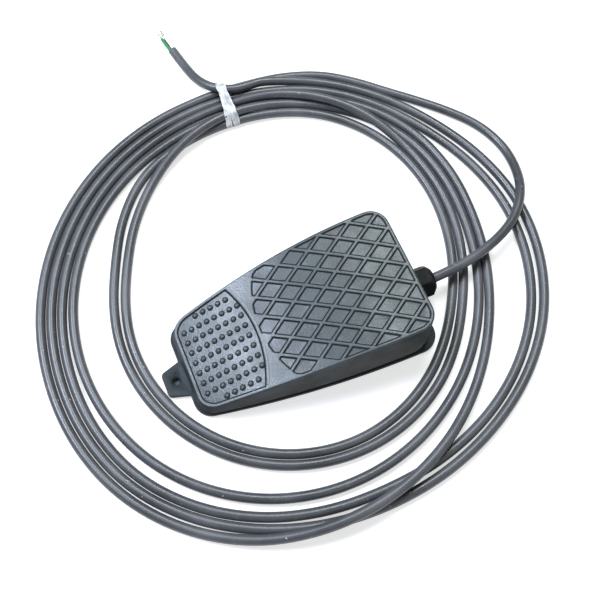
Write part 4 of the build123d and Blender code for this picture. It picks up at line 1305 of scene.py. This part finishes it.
# %% Bare strands
strand_radius, strand_ring = 0.2, 0.4
strand = spun([(0.0, -0.5), (strand_radius, -0.5), (strand_radius, tip_length - 0.1), (0.0, tip_length)], 8)
strands = bmesh.new()
for x, y in core_places.values():
    for number in range(7):
        angle = 2 * pi * number / 6
        spread = 0.0 if number == 6 else strand_ring
        spot = Matrix.Translation((x + spread * cos(angle), y + spread * sin(angle), core_length))
        join_copy(strands, strand, end_frame @ spot)
strand.free()
print("strands", len(strands.faces), "faces")


# %% [markdown]
# ## Metal, rubber and mouldings inside
# What works inside the housing keeps its CAD shape. Each kind gets its own finish: drawn and
# plated metal has fine streaks, rubber and mouldings have a faint grain.

# %% Inner finishes
def streaked_metal(name, colour, roughness, stretch=(1, 14, 14)):
    """Plated or drawn metal with fine streaks along the axis that is stretched least."""
    material, tree, shader = new_material(name, colour, roughness, metallic=1.0)
    streaks = noise_texture(tree, object_coordinates(tree, stretch), 160, 4, 0.6)
    darker = tuple(part * 0.8 for part in colour)
    drive(tree, shader, "Base Color", streaks, (0.3, darker), (0.7, colour))
    drive(tree, shader, "Roughness", streaks, (0.3, roughness - 0.08), (0.7, roughness + 0.1))
    add_bump(tree, shader, streaks, 0.01 * MM, 0.5)
    return material


def grained(name, colour, roughness, grain=1600):
    """Moulded plastic or rubber with a faint grain and uneven tone."""
    material, tree, shader = new_material(name, colour, roughness)
    place = object_coordinates(tree)
    lighter = tuple(min(1.0, part * 1.5 + 0.004) for part in colour)
    drive(tree, shader, "Base Color", noise_texture(tree, place, 80, 4), (0.35, colour), (0.75, lighter))
    fine = noise_texture(tree, place, grain, 3)
    drive(tree, shader, "Roughness", fine, (0.3, roughness - 0.06), (0.7, roughness + 0.08))
    add_bump(tree, shader, fine, 0.03 * MM, 0.5)
    return material


# %% Dress the inner pieces
tinned = streaked_metal("tinned_copper", (0.72, 0.68, 0.62), 0.32)
core_tips = finish_piece("core_tips", strands, tinned, "base", ("cord_strands",))
steel = streaked_metal("zinc_steel", (0.62, 0.63, 0.64), 0.30)
spring_steel = streaked_metal("spring_steel", (0.36, 0.36, 0.37), 0.34, (14, 14, 1))
brass = streaked_metal("plated_brass", (0.75, 0.60, 0.32), 0.30)
moulding = grained("black_moulding", (0.018, 0.018, 0.019), 0.42)
red = grained("red_button", (0.42, 0.03, 0.025), 0.30)
rubber = grained("black_rubber", (0.016, 0.016, 0.017), 0.75, 900)
inner_finishes = [
    (rubber, ["rubber_feet", "bumpers", "gland_seal"]),
    (steel, ["hinge_pin", "lever_pin", "switch_lever", "switch_screws", "earth_screw"]),
    (steel, ["actuator_screw", "actuator_lock_nut"]),
    (spring_steel, ["hinge_clips", "return_spring"]),
    (moulding, ["switch_case", "switch_cover"]),
    (nylon, ["gland_lock_nut"]),
    (red, ["switch_plunger"]),
    (brass, ["switch_terminals", "earth_terminal"]),
    (core_materials["black"], ["wire_black"]),
    (core_materials["white"], ["wire_white"]),
    (core_materials["green"], ["wire_green"]),
]
for finish, nodes in inner_finishes:
    for node in nodes:
        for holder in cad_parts[node].material_slots:
            holder.material = finish
print("finished", sum(len(nodes) for finish, nodes in inner_finishes), "inner nodes")
